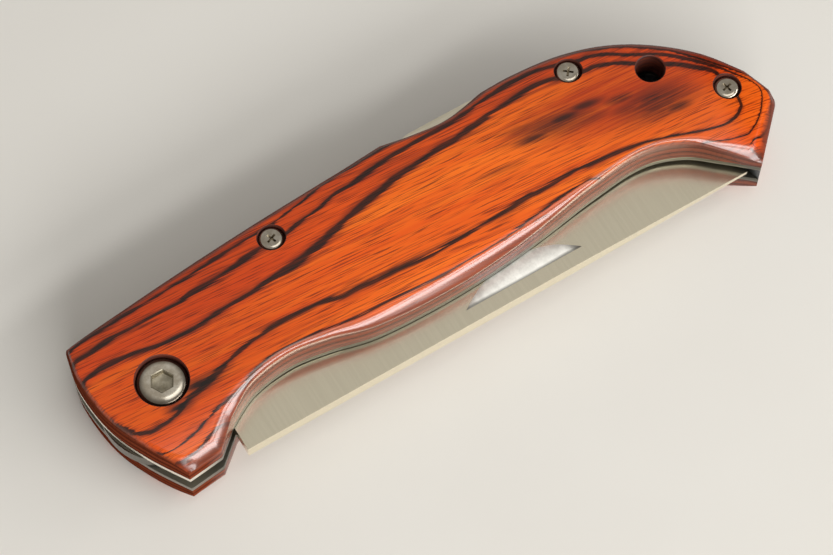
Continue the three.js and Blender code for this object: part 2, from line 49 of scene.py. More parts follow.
CROWN_FLAT = 5.0
CROWN_REACH = 16.0
CROWN_DROP = 1.6
TURN_X = 87.2
WALL_STRAIGHT = 1.15
WALL_LEAN = 0.7
VENEER = 0.62
GRAIN_TURN = math.radians(3.5)


def spot(x, y, z=0.0):
    """A place given in millimetres from the blade pivot and the middle of the knife's thickness."""
    return (Vector((x, y, z)) + PIVOT) * MM


def curve_through(points, steps):
    """Points along a smooth curve through the given ones."""
    given = np.array(points, float)
    padded = np.vstack([given[:1], given, given[-1:]])
    share = (np.arange(steps) / steps)[:, None]
    run = []
    for before, start, end, after in zip(padded, padded[1:], padded[2:], padded[3:]):
        leave, arrive = (end - before) / 2, (after - start) / 2
        cubed = (2 * start - 2 * end + leave + arrive) * share**3
        squared = (-3 * start + 3 * end - 2 * leave - arrive) * share**2
        run.append(cubed + squared + leave * share + start)
    return np.vstack([*run, given[-1:]])


def arc_points(x, y, radius, start, end, steps):
    """Points on an arc, the angles in radians."""
    angles = np.linspace(start, end, steps + 1)
    return np.column_stack([x + radius * np.cos(angles), y + radius * np.sin(angles)])


def joined(*runs):
    """Runs of points made one, without the points where two runs meet."""
    points = np.vstack([np.array(run, float) for run in runs])
    keep = np.ones(len(points), bool)
    keep[1:] = np.hypot(*(points[1:] - points[:-1]).T) > 1e-3
    return points[keep]


def nearest_on(line, points):
    """Distance from each point to a line of points, and where along it the nearest place is."""
    start, span = line[:-1], line[1:] - line[:-1]
    lengths = np.maximum((span**2).sum(1), 1e-12)
    distance, place = [], []
    for batch in np.array_split(points, max(1, len(points) // 1500)):
        share = (((batch[:, None] - start) * span).sum(2) / lengths).clip(0, 1)
        feet = start + share[..., None] * span
        away = np.hypot(*(batch[:, None] - feet).transpose(2, 0, 1))
        best = away.argmin(1)
        row = np.arange(len(batch))
        distance.append(away[row, best])
        place.append(best + share[row, best])
    return np.concatenate(distance), np.concatenate(place)


def along(line, share):
    """Points at given shares of a line's length."""
    steps = np.hypot(*(line[1:] - line[:-1]).T)
    reach = np.concatenate([[0], steps.cumsum()]) / steps.sum()
    return np.column_stack([np.interp(share, reach, line[:, k]) for k in (0, 1)])


BACK_CORNER = (-9.7, 11.9)
HUMP = (46.9, 17.3)
SCOOP_END = (64.9, 17.3)
BEAK_CORNER = (-3.4, -13.6)
CHOIL_CORNER = (2.3, -13.0)
BUTT_CORNER = (95.3, -14.8)
front_end = curve_through([BEAK_CORNER, (-7.0, -7.6), (-9.7, -1.1), (-10.6, 6.4), BACK_CORNER], 16)
back_line = curve_through([BACK_CORNER, (-3.4, 12.9), (9.0, 14.4), (25.0, 15.9), HUMP], 24)
scoop_line = curve_through([HUMP, (52.3, 16.18), (58.06, 15.7), SCOOP_END], 16)
butt_line = curve_through(
    [SCOOP_END, (71.0, 17.5), (78.6, 16.7), (85.2, 14.4), (91.4, 10.5), (97.1, 5.2), (101.4, -0.7)], 14
)
butt_round = arc_points(100.6, -5.9, 2.6, 0.36, -0.81, 16)
belly_line = curve_through(
    [
        BUTT_CORNER, (90.8, -10.8), (86.1, -7.1), (79.7, -5.2), (70.2, -5.95), (58.3, -7.75),
        (45.15, -8.75), (32.0, -8.4), (24.1, -6.7), (17.8, -5.9), (11.2, -6.9), (6.3, -9.5),
    ],
    14,
)
ROUND_MIDDLE = 9
near_side = joined([BEAK_CORNER, CHOIL_CORNER], belly_line[::-1])
butt_end = joined([BUTT_CORNER], butt_round[: ROUND_MIDDLE - 1 : -1])
far_side = joined(back_line, scoop_line, butt_line, butt_round[: ROUND_MIDDLE + 1])
handle_outline = joined(near_side, butt_end, far_side[::-1], front_end[::-1])[:-1]

# How broad and how deep the rounding of the edge is, from place to place along each side
near_rounding = [
    (-3.4, 2.0, 1.3), (2.3, 2.2, 1.4), (6.0, 2.0, 1.2), (11.0, 1.2, 0.7), (18.0, 0.9, 0.5),
    (25.0, 1.0, 0.6), (31.0, 1.6, 1.0), (38.0, 2.1, 1.4), (47.0, 2.2, 1.5), (56.0, 2.0, 1.3),
    (62.0, 1.5, 0.9), (68.0, 0.9, 0.5), (75.0, 0.5, 0.3), (86.0, 0.5, 0.3), (91.0, 1.3, 0.8),
    (95.3, 2.2, 1.4),
]
far_rounding = [
    (-9.7, 0.6, 0.6), (-5.0, 1.2, 1.2), (1.0, 1.5, 1.7), (20.0, 1.6, 2.0), (40.0, 1.6, 2.0),
    (47.0, 1.3, 1.5), (58.0, 1.1, 1.2), (65.0, 1.6, 2.0), (80.0, 2.1, 3.2), (92.0, 2.0, 3.2),
    (100.0, 1.6, 2.6), (104.0, 1.2, 1.8),
]
front_rounding = [
    (-13.6, 2.0, 1.3), (-11.0, 0.9, 0.6), (-8.0, 0.45, 0.4), (8.0, 0.4, 0.35), (11.9, 0.6, 0.6)
]
butt_rounding = [(-14.8, 2.2, 1.4), (-11.0, 1.7, 1.7), (-6.0, 1.2, 1.8)]


def crown_height(x, y):
    """Height of the wood's crown over the liner: a long barrel that turns round the butt."""
    beyond_turn = np.maximum(0, x - TURN_X)
    from_ridge = np.hypot(beyond_turn, y - RIDGE_Y)
    beyond = np.maximum(0, from_ridge - CROWN_FLAT)
    return SCALE_THICK - CROWN_DROP * (beyond / (CROWN_REACH - CROWN_FLAT)) ** 2


def edge_fall(y, share, drop):
    """How far the rounding has fallen; on the near side it is blunter, almost a chamfer."""
    blunt = ((-5.5 - y) / 2.5).clip(0, 1)
    round_fall = 1 - np.sqrt(1 - (1 - share) ** 2)
    return drop * ((1 - blunt) * round_fall + blunt * (1 - share) ** 1.6)


def wall_lean(height):
    """How far the side wall has leaned inwards at a height over the liner."""
    rise = (height - WALL_STRAIGHT).clip(0, 3.99) / 4.0
    return WALL_LEAN * (1 - np.sqrt(1 - rise**2))


def rounded_side(side, stations, by):
    """The top edge of one side: the wall's upper rim and the rounding's width and drop along it."""
    line = along(side, np.linspace(0, 1, 420))
    line[0], line[-1] = side[0], side[-1]
    places, widths, drops = np.array(stations).T
    width = np.interp(line[:, by], places, widths)
    drop = np.interp(line[:, by], places, drops)
    heading = np.gradient(line, axis=0)
    heading /= np.hypot(*heading.T)[:, None]
    inward = np.column_stack([-heading[:, 1], heading[:, 0]])
    rim = crown_height(*line.T) - drop
    lean = wall_lean(rim)
    return {"foot": line, "width": width, "drop": drop, "inward": inward, "rim": rim, "lean": lean}


sides = [
    rounded_side(np.array([BEAK_CORNER, CHOIL_CORNER]), near_rounding, 0),
    rounded_side(joined([CHOIL_CORNER], belly_line[::-1]), near_rounding, 0),
    rounded_side(butt_end, butt_rounding, 1),
    rounded_side(far_side[::-1], far_rounding, 0),
    rounded_side(front_end[::-1], front_rounding, 1),
]
closed_outline = np.vstack([handle_outline, handle_outline[:1]])
corner_feet, corner_rims = [], []
for i, side in enumerate(sides):
    before = sides[i - 1]
    first, last = side["inward"][0], before["inward"][-1]
    lean = (side["lean"][0] + before["lean"][-1]) / 2
    corner_feet.append(side["foot"][0])
    corner_rims.append(side["foot"][0] + lean * (first + last) / (1 + first @ last))
for i, side in enumerate(sides):
    rim_line = side["foot"] + side["inward"] * side["lean"][:, None]
    away = nearest_on(closed_outline, rim_line)[0]
    keep = away > side["lean"] * 0.985
    keep[0] = keep[-1] = False
    start, end = corner_rims[i], corner_rims[(i + 1) % len(sides)]
    side["line"] = np.vstack([start, rim_line[keep], end])
    for name in ("foot", "width", "drop", "rim"):
        side["at_" + name] = np.concatenate([side[name][:1], side[name][keep], side[name][-1:]])
rim_loop = np.vstack([side["line"] for side in sides])
rim_feet, rim_drops, rim_heights = (
    np.concatenate([side["at_" + name] for side in sides]) for name in ("foot", "drop", "rim")
)

# The dark seams as they run over the surface, from the front along the back, round the butt
# and forward again on the near side; the inner one first
inner_seam = [
    (-11, 4.6), (-9.4, 5.7), (-8, 6), (-6, 6.15), (-3, 6), (0.2, 5.5), (3, 4.9), (5, 4.8), (8.6, 4.8),
    (11, 5), (14, 5.2), (18, 5.4), (21, 5.65), (25, 5.95), (28.6, 6.5), (31.4, 7.1), (34.6, 8),
    (37.6, 8.8), (40.6, 9.5), (43.6, 10.1), (46.6, 10.65), (50, 10.9), (53.6, 11.35), (56.6, 11.4),
    (60, 11.85), (63.2, 12.3), (67, 12.6), (71, 13), (73.4, 12.8), (75.6, 12.2), (79.8, 11), (81, 11),
    (82.6, 10.5), (85.4, 9.1), (88.4, 7), (92, 4.8), (94.2, 3), (96.4, 0.8), (97.3, -2.2), (97.2, -5.4),
    (96.6, -6.4), (95.1, -7.2), (93, -7.45), (90.2, -7), (86.2, -5.7), (82, -4.3), (78, -3.5),
    (72.6, -2.9), (69, -2.4), (63, -2.6), (61, -2.45), (56, -2.8), (50, -3), (44, -3.2), (40, -2.8),
    (34.6, -2.5), (32, -2.2), (29.4, -2.2), (26.6, -1.5), (23, -1.15), (19, -1), (15, -1.35), (11, -2),
    (7.4, -3.1), (4.6, -4), (1.4, -4.7), (-1.4, -5.9), (-4.6, -6.2), (-6.4, -5.7), (-7.7, -4.5),
    (-9.5, -1.8),
]
middle_seam = [
    (-11, 8.3), (-9, 9), (-7, 9.2), (-4, 9.6), (1, 9.5), (5, 9.55), (8.6, 9.55), (10.2, 9.85), (14, 10),
    (18, 10.4), (22, 10.9), (27, 11.05), (30, 11.65), (33.4, 12.15), (36.4, 12.95), (40, 13.25),
    (44, 13.9), (46, 14.1), (50, 14.3), (57, 14.35), (60.4, 14.6), (63.6, 15.15), (67, 15.5),
    (71, 15.55), (73, 15.4), (76, 14.65), (80, 13.2), (81.4, 13), (84, 11.9), (87, 9.9), (91, 7.4),
    (94, 4.8), (97, 1.6), (100.4, -2.6), (101.3, -5), (100.2, -7), (98.4, -8.8), (96, -10.2),
    (95, -10.4), (92.2, -9.9), (89, -8.6), (84, -7.4), (78, -6.4), (72, -5.4), (70, -4.9), (65, -5.2),
    (60, -5.8), (55, -6.3), (48, -6.6), (42, -6.7), (36.4, -6.35), (31, -6.2), (28, -6), (23, -5.3),
    (16, -4.9), (12, -5.7), (10.2, -6.5), (7, -7.4), (4, -8), (0.6, -9.3), (-3.6, -9.9), (-5.8, -9.3),
    (-7.5, -7.5),
]
outer_seam = [
    (-10.5, 10.6), (-7, 11.5), (-3, 11.9), (1, 12), (5, 12.1), (8, 12.4), (11, 12.6), (15, 13),
    (19, 13.3), (23, 13.5), (27, 13.8), (30.6, 14.35), (34, 15.1), (37, 15.6), (42, 16.05), (46, 16.2),
    (52, 15.9), (58, 15.4), (66, 16.7), (72, 16.6), (78, 15.9), (85, 12.7), (88, 11), (92, 7.8),
    (95, 4.7), (98, 1.2), (101, -2.2), (102, -4.5), (102.2, -6.2), (101.8, -7.4), (99.8, -9.8),
    (97.6, -11.4), (94.5, -12.4), (92, -20), (20, -20), (9, -12), (5, -10.2), (2.6, -10.5), (0, -11.5),
    (-2, -12), (-3.4, -12.1), (-4.4, -11.7),
]


TURN_RADIUS = 12
HALF_ROUND = TURN_RADIUS * np.pi


def round_ridge(x, y):
    """Where a point lies along the seams' run round the handle, and how far from the ridge."""
    ahead, aside = x - TURN_X, y - RIDGE_Y
    quarter_turn = np.pi / 2 - np.arctan2(aside, np.maximum(ahead, 1e-9))
    straight = np.where(aside >= 0, ahead, HALF_ROUND - ahead)
    place = np.where(ahead < 0, straight, TURN_RADIUS * quarter_turn)
    return place, np.hypot(np.maximum(ahead, 0), aside)


def seam_distance(seam, place):
    seam_place, away = round_ridge(*np.array(seam).T)
    order = seam_place.argsort()
    return np.interp(place, seam_place[order], away[order])


def veneers_down(points):
    """How many veneers below the ridge the surface has come: a whole number on each seam."""
    place, away = round_ridge(*points.T)
    inner = seam_distance(inner_seam, place)
    middle = np.maximum(seam_distance(middle_seam, place), inner + 0.7)
    outer = np.maximum(seam_distance(outer_seam, place), middle + 0.9)
    outer = np.where(place > HALF_ROUND + 1, middle + 1.9, outer)
    levels = away / inner
    levels = np.where(away > inner, 1 + (away - inner) / (middle - inner), levels)
    levels = np.where(away > middle, 2 + (away - middle) / (outer - middle), levels)
    return np.where(away > outer, 3 + (away - outer) / 1.8, levels)


def from_seam(seam, points):
    """Millimetres from a seam, less than nothing on the ridge's side of it."""
    run = curve_through(seam, 6)
    away, _ = nearest_on(run, points)
    place, reach = round_ridge(*points.T)
    return np.where(reach < seam_distance(run, place), -away, away)


def deselect():
    if bpy.context.object and bpy.context.object.mode != "OBJECT":
        bpy.ops.object.mode_set(mode="OBJECT")
    bpy.ops.object.select_all(action="DESELECT")


def made(name):
    """Names the piece that an operator has just made, and its mesh."""
    piece = bpy.context.active_object
    piece.name = piece.data.name = name
    return piece


def choose(piece):
    deselect()
    piece.select_set(True)
    bpy.context.view_layer.objects.active = piece


def apply_modifier(piece, kind, **settings):
    choose(piece)
    modifier = piece.modifiers.new(kind.lower(), kind)
    for name, value in settings.items():
        setattr(modifier, name, value)
    bpy.ops.object.modifier_apply(modifier=modifier.name)


def take_away(piece, tool):
    """Cuts a piece with a tool; the cut faces keep the tool's material, if it has one."""
    if not tool.data.materials:
        tool.data.materials.append(piece.data.materials[0])
    apply_modifier(
        piece, "BOOLEAN", operation="DIFFERENCE", object=tool, solver="EXACT", material_mode="TRANSFER"
    )
    bpy.data.objects.remove(tool)


def edit_all(piece):
    """Opens a piece for editing with everything selected."""
    choose(piece)
    bpy.ops.object.mode_set(mode="EDIT")
    bpy.ops.mesh.select_all(action="SELECT")


def face_outwards(piece):
    edit_all(piece)
    bpy.ops.mesh.normals_make_consistent(inside=False)
    bpy.ops.object.mode_set(mode="OBJECT")


def shade_smooth(piece, degrees):
    """Smooth shading, with a crease wherever faces meet at more than the given angle."""
    choose(piece)
    bpy.ops.object.shade_smooth_by_angle(angle=math.radians(degrees))


def copy_of(piece, name, move):
    """A copy of a piece with a mesh of its own, moved or mirrored by a matrix."""
    twin = piece.copy()
    twin.data = piece.data.copy()
    twin.name = twin.data.name = name
    bpy.context.scene.collection.objects.link(twin)
    twin.data.transform(move)
    return twin


def turned(name, x, y, profile, vertices=72):
    """A turned piece: a disc drawn up step by step, each step given as radius and height."""
    deselect()
    bpy.ops.mesh.primitive_circle_add(vertices=vertices, radius=profile[0][0] * MM, fill_type="NGON")
    piece = made(name)
    edit_all(piece)
    for (small, low), (large, high) in zip(profile, profile[1:]):
        bpy.ops.mesh.extrude_region_move(TRANSFORM_OT_translate={"value": (0, 0, (high - low) * MM)})
        bpy.ops.transform.resize(value=(large / small, large / small, 1), center_override=(0, 0, 0))
    face_outwards(piece)
    piece.data.transform(Matrix.Translation(spot(x, y, profile[0][1])))
    return piece


def points_of(piece):
    flat = np.empty(len(piece.data.vertices) * 3)
    piece.data.vertices.foreach_get("co", flat)
    return flat.reshape(-1, 3)


def set_points(piece, points):
    piece.data.vertices.foreach_set("co", np.ascontiguousarray(points, float).ravel())
    piece.data.update()


def new_material(name):
    material = bpy.data.materials.new(name)
    material.use_nodes = True
    tree = material.node_tree
    return material, tree, tree.nodes["Principled BSDF"]


def wire(tree, item, links):
    """Gives a node its inputs, each as a value or as another node's output."""
    for name, value in links.items():
        if isinstance(value, bpy.types.NodeSocket):
            tree.links.new(value, item.inputs[name])
        else:
            item.inputs[name].default_value = value


def node(tree, kind, links, **settings):
    item = tree.nodes.new("ShaderNode" + kind)
    for name, value in settings.items():
        setattr(item, name, value)
    wire(tree, item, links)
    return item


def maths(tree, operation, a, b=0.0):
    return node(tree, "Math", {0: a, 1: b}, operation=operation).outputs[0]


def times(tree, a, b):
    return maths(tree, "MULTIPLY", a, b)


def object_place(tree):
    return node(tree, "TexCoord", {}).outputs["Object"]


def split(tree, vector):
    return node(tree, "SeparateXYZ", {"Vector": vector}).outputs


def spread(tree, value, low, high, to_low=0.0, to_high=1.0):
    links = {"Value": value, "From Min": low, "From Max": high, "To Min": to_low, "To Max": to_high}
    return node(tree, "MapRange", links, interpolation_type="SMOOTHSTEP").outputs["Result"]


def blend(tree, share, first, second):
    return node(tree, "Mix", {0: share, 6: first, 7: second}, data_type="RGBA").outputs[2]


def overlay(tree, share, colour):
    """Lays a colour over the shader's base colour, as much as the share says."""
    base = tree.nodes["Principled BSDF"].inputs["Base Color"]
    tree.links.new(blend(tree, share, base.links[0].from_socket, colour), base)


def mapped(tree, vector, **settings):
    return node(tree, "Mapping", {"Vector": vector, **settings}).outputs["Vector"]


def far_off(tree, place, scale):
    """How far a place is from the middle, with a scale along each axis."""
    sized = node(tree, "VectorMath", {0: place, 1: scale}, operation="MULTIPLY").outputs[0]
    return node(tree, "VectorMath", {0: sized}, operation="LENGTH").outputs["Value"]


def stretched_noise(tree, scale, turn=0.0, offset=(0.0, 0.0, 0.0), detail=2.0, rough=0.5):
    """Noise on the object's own coordinates, stretched by giving it a scale along each axis."""
    turned_place = mapped(tree, object_place(tree), Rotation=(0.0, 0.0, turn))
    stretched = mapped(tree, turned_place, Location=offset, Scale=scale)
    links = {"Vector": stretched, "Scale": 1.0, "Detail": detail, "Roughness": rough}
    return node(tree, "TexNoise", links).outputs["Fac"]


def rgb(red, green, blue):
    """A colour given as it looks on a screen, 0 to 255."""
    parts = [value / 255 for value in (red, green, blue)]
    linear = [((p + 0.055) / 1.055) ** 2.4 if p > 0.04 else p / 12.92 for p in parts]
    return (*linear, 1.0)


SMUDGE_TURN = math.radians(9)


def laminated_wood():
    material, tree, shader = new_material("laminated_wood")
    fine = stretched_noise(tree, (75, 2900, 500), GRAIN_TURN, detail=3, rough=0.6)
    pores = stretched_noise(tree, (170, 5600, 800), GRAIN_TURN, (3, 1, 7), 2, 0.5)
    broad = stretched_noise(tree, (28, 420, 100), GRAIN_TURN, (9, 4, 1), 3, 0.55)
    drift = stretched_noise(tree, (110, 420, 60), GRAIN_TURN, (5, 8, 2), 3, 0.6)
    swell = stretched_noise(tree, (75, 110, 50), GRAIN_TURN, (1, 2, 12), 3, 0.6)

    layouts = [node(tree, "UVMap", {}, uv_map=name) for name in ("veneers", "seams", "outer_seam")]
    patterns = [split(tree, layout.outputs["UV"])[:2] for layout in layouts]
    (on_wall, level), (inner, middle), (outer, shoulder) = patterns
    wander = times(tree, maths(tree, "SUBTRACT", drift, 0.5), 0.36)
    place = object_place(tree)
    place_x, place_y, _ = split(tree, place)
    raggedness = spread(tree, place_x, 0.018, 0.034, 1.1, 0.4)
    ragged = times(tree, maths(tree, "SUBTRACT", fine, 0.5), raggedness)
    wander = maths(tree, "ADD", wander, ragged)
    breadth = spread(tree, swell, 0.36, 0.66, 0.7, 1.35)
    breadth = times(tree, breadth, spread(tree, place_x, 0.014, 0.032, 1.0, 0.72))
    near_half = spread(tree, place_y, -0.005, 0.001, 1.0, 0.0)
    slim = times(tree, near_half, spread(tree, place_x, -0.032, -0.012, 0.0, 0.3))
    breadth = times(tree, breadth, maths(tree, "SUBTRACT", 1.0, slim))
    middle_half = maths(tree, "SUBTRACT", 0.42, times(tree, near_half, 0.2))
    seams, stain = None, None
    for distance, half in ((inner, 0.54), (middle, middle_half), (outer, 0.26)):
        away = maths(tree, "ABSOLUTE", maths(tree, "ADD", distance, wander))
        wide = maths(tree, "DIVIDE", away, times(tree, breadth, half))
        core = spread(tree, wide, 0.55, 1.2, 1.0, 0.0)
        halo = spread(tree, wide, 0.9, 2.8, 1.0, 0.0)
        seams = core if seams is None else maths(tree, "MAXIMUM", seams, core)
        stain = halo if stain is None else maths(tree, "MAXIMUM", stain, halo)

    # The veneers inside the inner seam are a brighter orange. The whole near half gets that brighter
    # orange as well: painted light, for the light falling from the near side.
    inside = maths(tree, "MAXIMUM", spread(tree, inner, -1.5, 0.5, 1.0, 0.0), near_half)
    orange = blend(tree, spread(tree, broad, 0.3, 0.7), rgb(240, 92, 12), rgb(255, 118, 22))
    outside = blend(tree, spread(tree, broad, 0.3, 0.7), rgb(214, 68, 10), rgb(242, 90, 14))
    wire(tree, shader, {"Base Color": blend(tree, inside, outside, orange)})
    overlay(tree, spread(tree, place_x, -0.045, -0.005, 0.45, 0.0), rgb(186, 56, 10))
    # Painted shade: the wood darkens towards the butt, where the crown turns away from the light.
    overlay(tree, spread(tree, place_x, 0.028, 0.05, 0.0, 0.5), rgb(196, 60, 14))
    # Painted shade: a dark red band along the rim of the far side and round the butt, where the crown
    # falls away from the light.
    rearwards = spread(tree, place_x, 0.02, 0.04, 0.0, 0.8)
    painted_rim_shade = times(tree, spread(tree, outer, -0.3, 0.5), rearwards)
    far_half = maths(tree, "SUBTRACT", 1.0, near_half)
    far_or_butt = maths(tree, "MAXIMUM", far_half, spread(tree, place_x, 0.05, 0.053))
    overlay(tree, times(tree, painted_rim_shade, far_or_butt), rgb(112, 28, 12))
    streak = times(tree, spread(tree, fine, 0.48, 0.72), 0.62)
    overlay(tree, streak, rgb(160, 52, 10))
    overlay(tree, times(tree, spread(tree, pores, 0.52, 0.68), 0.75), rgb(84, 24, 8))
    stain = times(tree, stain, times(tree, spread(tree, fine, 0.34, 0.6), 0.6))
    overlay(tree, stain, rgb(92, 30, 14))

    # Smudges near the butt and beside the pivot: place, reach along and across, and depth
    smudges = (
        (72.5, 5.8, 4.6, 1.3, 0.95), (67.0, 5.2, 4.4, 1.1, 0.9), (66.0, 7.6, 4.4, 1.1, 0.55),
        (76.5, 6.0, 4.0, 1.0, 0.9), (75.5, 3.8, 5.0, 1.2, 0.5), (81.5, 4.2, 3.4, 1.0, 0.85),
        (82.0, 2.0, 4.0, 1.4, 0.6), (85.9, 1.7, 3.8, 1.2, 0.95), (85.0, -0.5, 4.2, 1.0, 0.55),
        (88.5, -1.4, 3.4, 1.3, 0.9), (89.5, 0.4, 3.4, 1.0, 0.6), (60.0, 3.2, 5.0, 0.8, 0.4),
        (86.5, 0.8, 8.0, 3.6, 0.8), (71.0, 5.5, 9.5, 2.6, 0.75),
        (0.2, -4.9, 2.8, 1.4, 1.0), (4.4, -3.4, 3.6, 1.3, 1.0), (5.5, 4.8, 3.6, 0.7, 0.6),
    )
    warm_patch = (81.0, 4.4, 19.0, 7.5, 0.0)
    dusk = None
    for x, y, reach, width, depth in (*smudges, warm_patch):
        middle_x, middle_y, _ = spot(x, y)
        moved = mapped(tree, place, Location=(-middle_x, -middle_y, 0.0))
        moved = mapped(tree, moved, Rotation=(0.0, 0.0, SMUDGE_TURN))
        away = far_off(tree, moved, (1000 / reach, 1000 / width, 0.0))
        warmth = spread(tree, away, 0.2, 1.1, 0.85, 0.0)
        patch = times(tree, spread(tree, away, 0.15, 1.2, 1.0, 0.0), depth)
        dusk = patch if dusk is None else maths(tree, "MAXIMUM", dusk, patch)
    smear = stretched_noise(tree, (120, 2000, 300), math.radians(5), (2, 6, 3), 4, 0.7)
    overlay(tree, times(tree, warmth, spread(tree, fine, 0.2, 0.55, 0.4, 1.0)), rgb(168, 46, 10))
    dusk = times(tree, dusk, spread(tree, smear, 0.27, 0.46))
    dusk = times(tree, dusk, spread(tree, fine, 0.32, 0.54, 0.7, 1.0))
    overlay(tree, dusk, rgb(46, 20, 14))
    seams = times(tree, seams, spread(tree, pores, 0.36, 0.64, 0.98, 0.84))
    overlay(tree, seams, rgb(20, 13, 9))

    gloss = spread(tree, shoulder, 0.03, 0.45, 0.0, 0.9)
    gloss = times(tree, gloss, spread(tree, shoulder, 0.8, 1.0, 1.0, 0.4))
    # Painted shade: under the coat's highlight the near shoulder's base colour is darkened to a brown, so
    # the highlight reads paler and the rounding below it darker.
    overlay(tree, times(tree, gloss, 0.55), rgb(112, 66, 40))

    # The wall shows the veneers edge on, with their glue lines and grain. Its colours are set darker than
    # the top's, which is painted shade.
    layer_level = maths(tree, "ADD", level, times(tree, wander, 0.3))
    layer = maths(tree, "SINE", times(tree, layer_level, 2.3))
    layer = maths(tree, "ADD", times(tree, layer, 0.5), 0.5)
    side = blend(tree, layer, rgb(126, 60, 38), rgb(98, 44, 28))
    line = spread(tree, maths(tree, "PINGPONG", layer_level, 1.0), 0.06, 0.3, 0.6, 0.0)
    side = blend(tree, line, side, rgb(26, 13, 10))
    side = blend(tree, times(tree, streak, 0.5), side, rgb(56, 20, 12))
    overlay(tree, on_wall, side)
    near_gleam = times(tree, near_half, spread(tree, place_x, -0.047, -0.04, 0.0, 0.3))
    gleam = maths(tree, "MAXIMUM", spread(tree, on_wall, 0.4, 0.9, 0.5, 0.0), near_gleam)
    gleam = times(tree, gleam, spread(tree, place_x, 0.046, 0.051, 1.0, 0.2))
    rough = maths(tree, "ADD", 0.19, times(tree, fine, 0.12))
    links = {"Height": maths(tree, "ADD", fine, pores), "Strength": 0.12, "Distance": 0.00006}
    grain = node(tree, "Bump", links).outputs["Normal"]
    wire(tree, shader, {"Specular IOR Level": gleam, "Roughness": rough, "Normal": grain})
    wire(tree, shader, {"Coat Weight": gloss, "Coat Roughness": 0.15, "Coat IOR": 1.7})
    return material


COLUMNS = 288
ROWS = 72
deselect()
bpy.ops.mesh.primitive_grid_add(x_subdivisions=COLUMNS, y_subdivisions=ROWS, size=0.1)
upper_scale = made("wood_scale_upper")
flat = points_of(upper_scale)
lengthwise = (flat[:, 0] - flat[:, 0].min()) / np.ptp(flat[:, 0])
crosswise = (flat[:, 1] - flat[:, 1].min()) / np.ptp(flat[:, 1])
choil_share = round(0.052 * COLUMNS) / COLUMNS
eased_along = 0.7 * lengthwise + 0.3 * (1 - np.cos(np.pi * lengthwise)) / 2
eased_across = 0.4 * crosswise + 0.6 * (1 - np.cos(np.pi * crosswise)) / 2
beak_part = along(sides[0]["line"], (lengthwise / choil_share).clip(0, 1))
belly_part = along(sides[1]["line"], ((lengthwise - choil_share) / (1 - choil_share)).clip(0, 1))
near = np.where((lengthwise <= choil_share + 1e-9)[:, None], beak_part, belly_part)
far = along(sides[3]["line"][::-1], eased_along)
left = along(sides[4]["line"][::-1], eased_across)
right = along(sides[2]["line"], eased_across)
u, v = lengthwise[:, None], eased_across[:, None]
beak, butt, tail, nose = (corner_rims[i] for i in (0, 2, 3, 4))
sheet = (
    (1 - v) * near + v * far + (1 - u) * left + u * right
    - (1 - u) * (1 - v) * beak - u * (1 - v) * butt - (1 - u) * v * nose - u * v * tail
)
steps = np.arange(len(rim_loop))


def over_rounding(points):
    """How far over each side's rounding a point lies: 0 on its rim, 1 from its inner end on. The
    sides are near, butt, far and front. Their product rounds the corners off."""
    shares = []
    for group in ((0, 1), (2,), (3,), (4,)):
        line = np.vstack([sides[k]["line"] for k in group])
        widths = np.concatenate([sides[k]["at_width"] for k in group])
        away, where = nearest_on(line, points)
        shares.append((away / np.interp(where, np.arange(len(line)), widths)).clip(0, 1))
    return np.array(shares)


def wood_surface(points):
    """Height of the wood over the liner at the points, and what it is worked out from."""
    to_rim, place = nearest_on(rim_loop, points)
    drop = np.interp(place, steps, rim_drops)
    shares = over_rounding(points)
    top = crown_height(*points.T) - edge_fall(points[:, 1], shares.prod(axis=0), drop)
    return top, to_rim, place, drop, shares


top, to_rim, rim_place, drop, side_shares = wood_surface(sheet)
inside_share = side_shares.prod(axis=0)
on_rim = to_rim < 1e-4
top[on_rim] = np.interp(rim_place[on_rim], steps, rim_heights)
sheet_points = [spot(x, y, SCALE_SEAT + z) for (x, y), z in zip(sheet, top)]
set_points(upper_scale, sheet_points)

WALL_STEPS = 7
STEP_DOWN = 20.0
choose(upper_scale)
bpy.ops.object.mode_set(mode="EDIT")
bpy.ops.mesh.select_mode(type="EDGE")
bpy.ops.mesh.select_all(action="DESELECT")
bpy.ops.mesh.select_non_manifold()
for _ in range(WALL_STEPS):
    bpy.ops.mesh.extrude_edges_move(TRANSFORM_OT_translate={"value": (0, 0, -STEP_DOWN * MM)})
bpy.ops.mesh.edge_face_add()
bpy.ops.object.mode_set(mode="OBJECT")

placed = points_of(upper_scale) / MM - np.array(PIVOT)
lowered = np.arange(len(placed)) >= len(flat)
wall_xy = placed[lowered, :2]
_, wall_place = nearest_on(rim_loop, wall_xy)
rim_height = np.interp(wall_place, steps, rim_heights)
foot = np.column_stack([np.interp(wall_place, steps, rim_feet[:, k]) for k in (0, 1)])
for corner_foot, corner_rim in zip(corner_feet, corner_rims):
    foot[np.hypot(*(wall_xy - corner_rim).T) < 1e-3] = corner_foot
stage_down = np.rint((SCALE_SEAT + rim_height - placed[lowered, 2]) / STEP_DOWN)
height = rim_height * (1 - stage_down / WALL_STEPS)
lean_share = wall_lean(height) / np.maximum(wall_lean(rim_height), 1e-6)
wall_xy = foot + (wall_xy - foot) * lean_share[:, None]
wall_points = [spot(x, y, SCALE_SEAT + z) for (x, y), z in zip(wall_xy, height)]
set_points(upper_scale, np.vstack([sheet_points, wall_points]))

# What the wood's material reads at each place: how much it belongs to the wall, which veneer
# lies there, the distances from the three seams, and how near it is to the bright shoulder
surface = np.vstack([sheet, placed[lowered, :2]])
levels = veneers_down(surface)
levels[lowered] += (rim_height - height) / VENEER
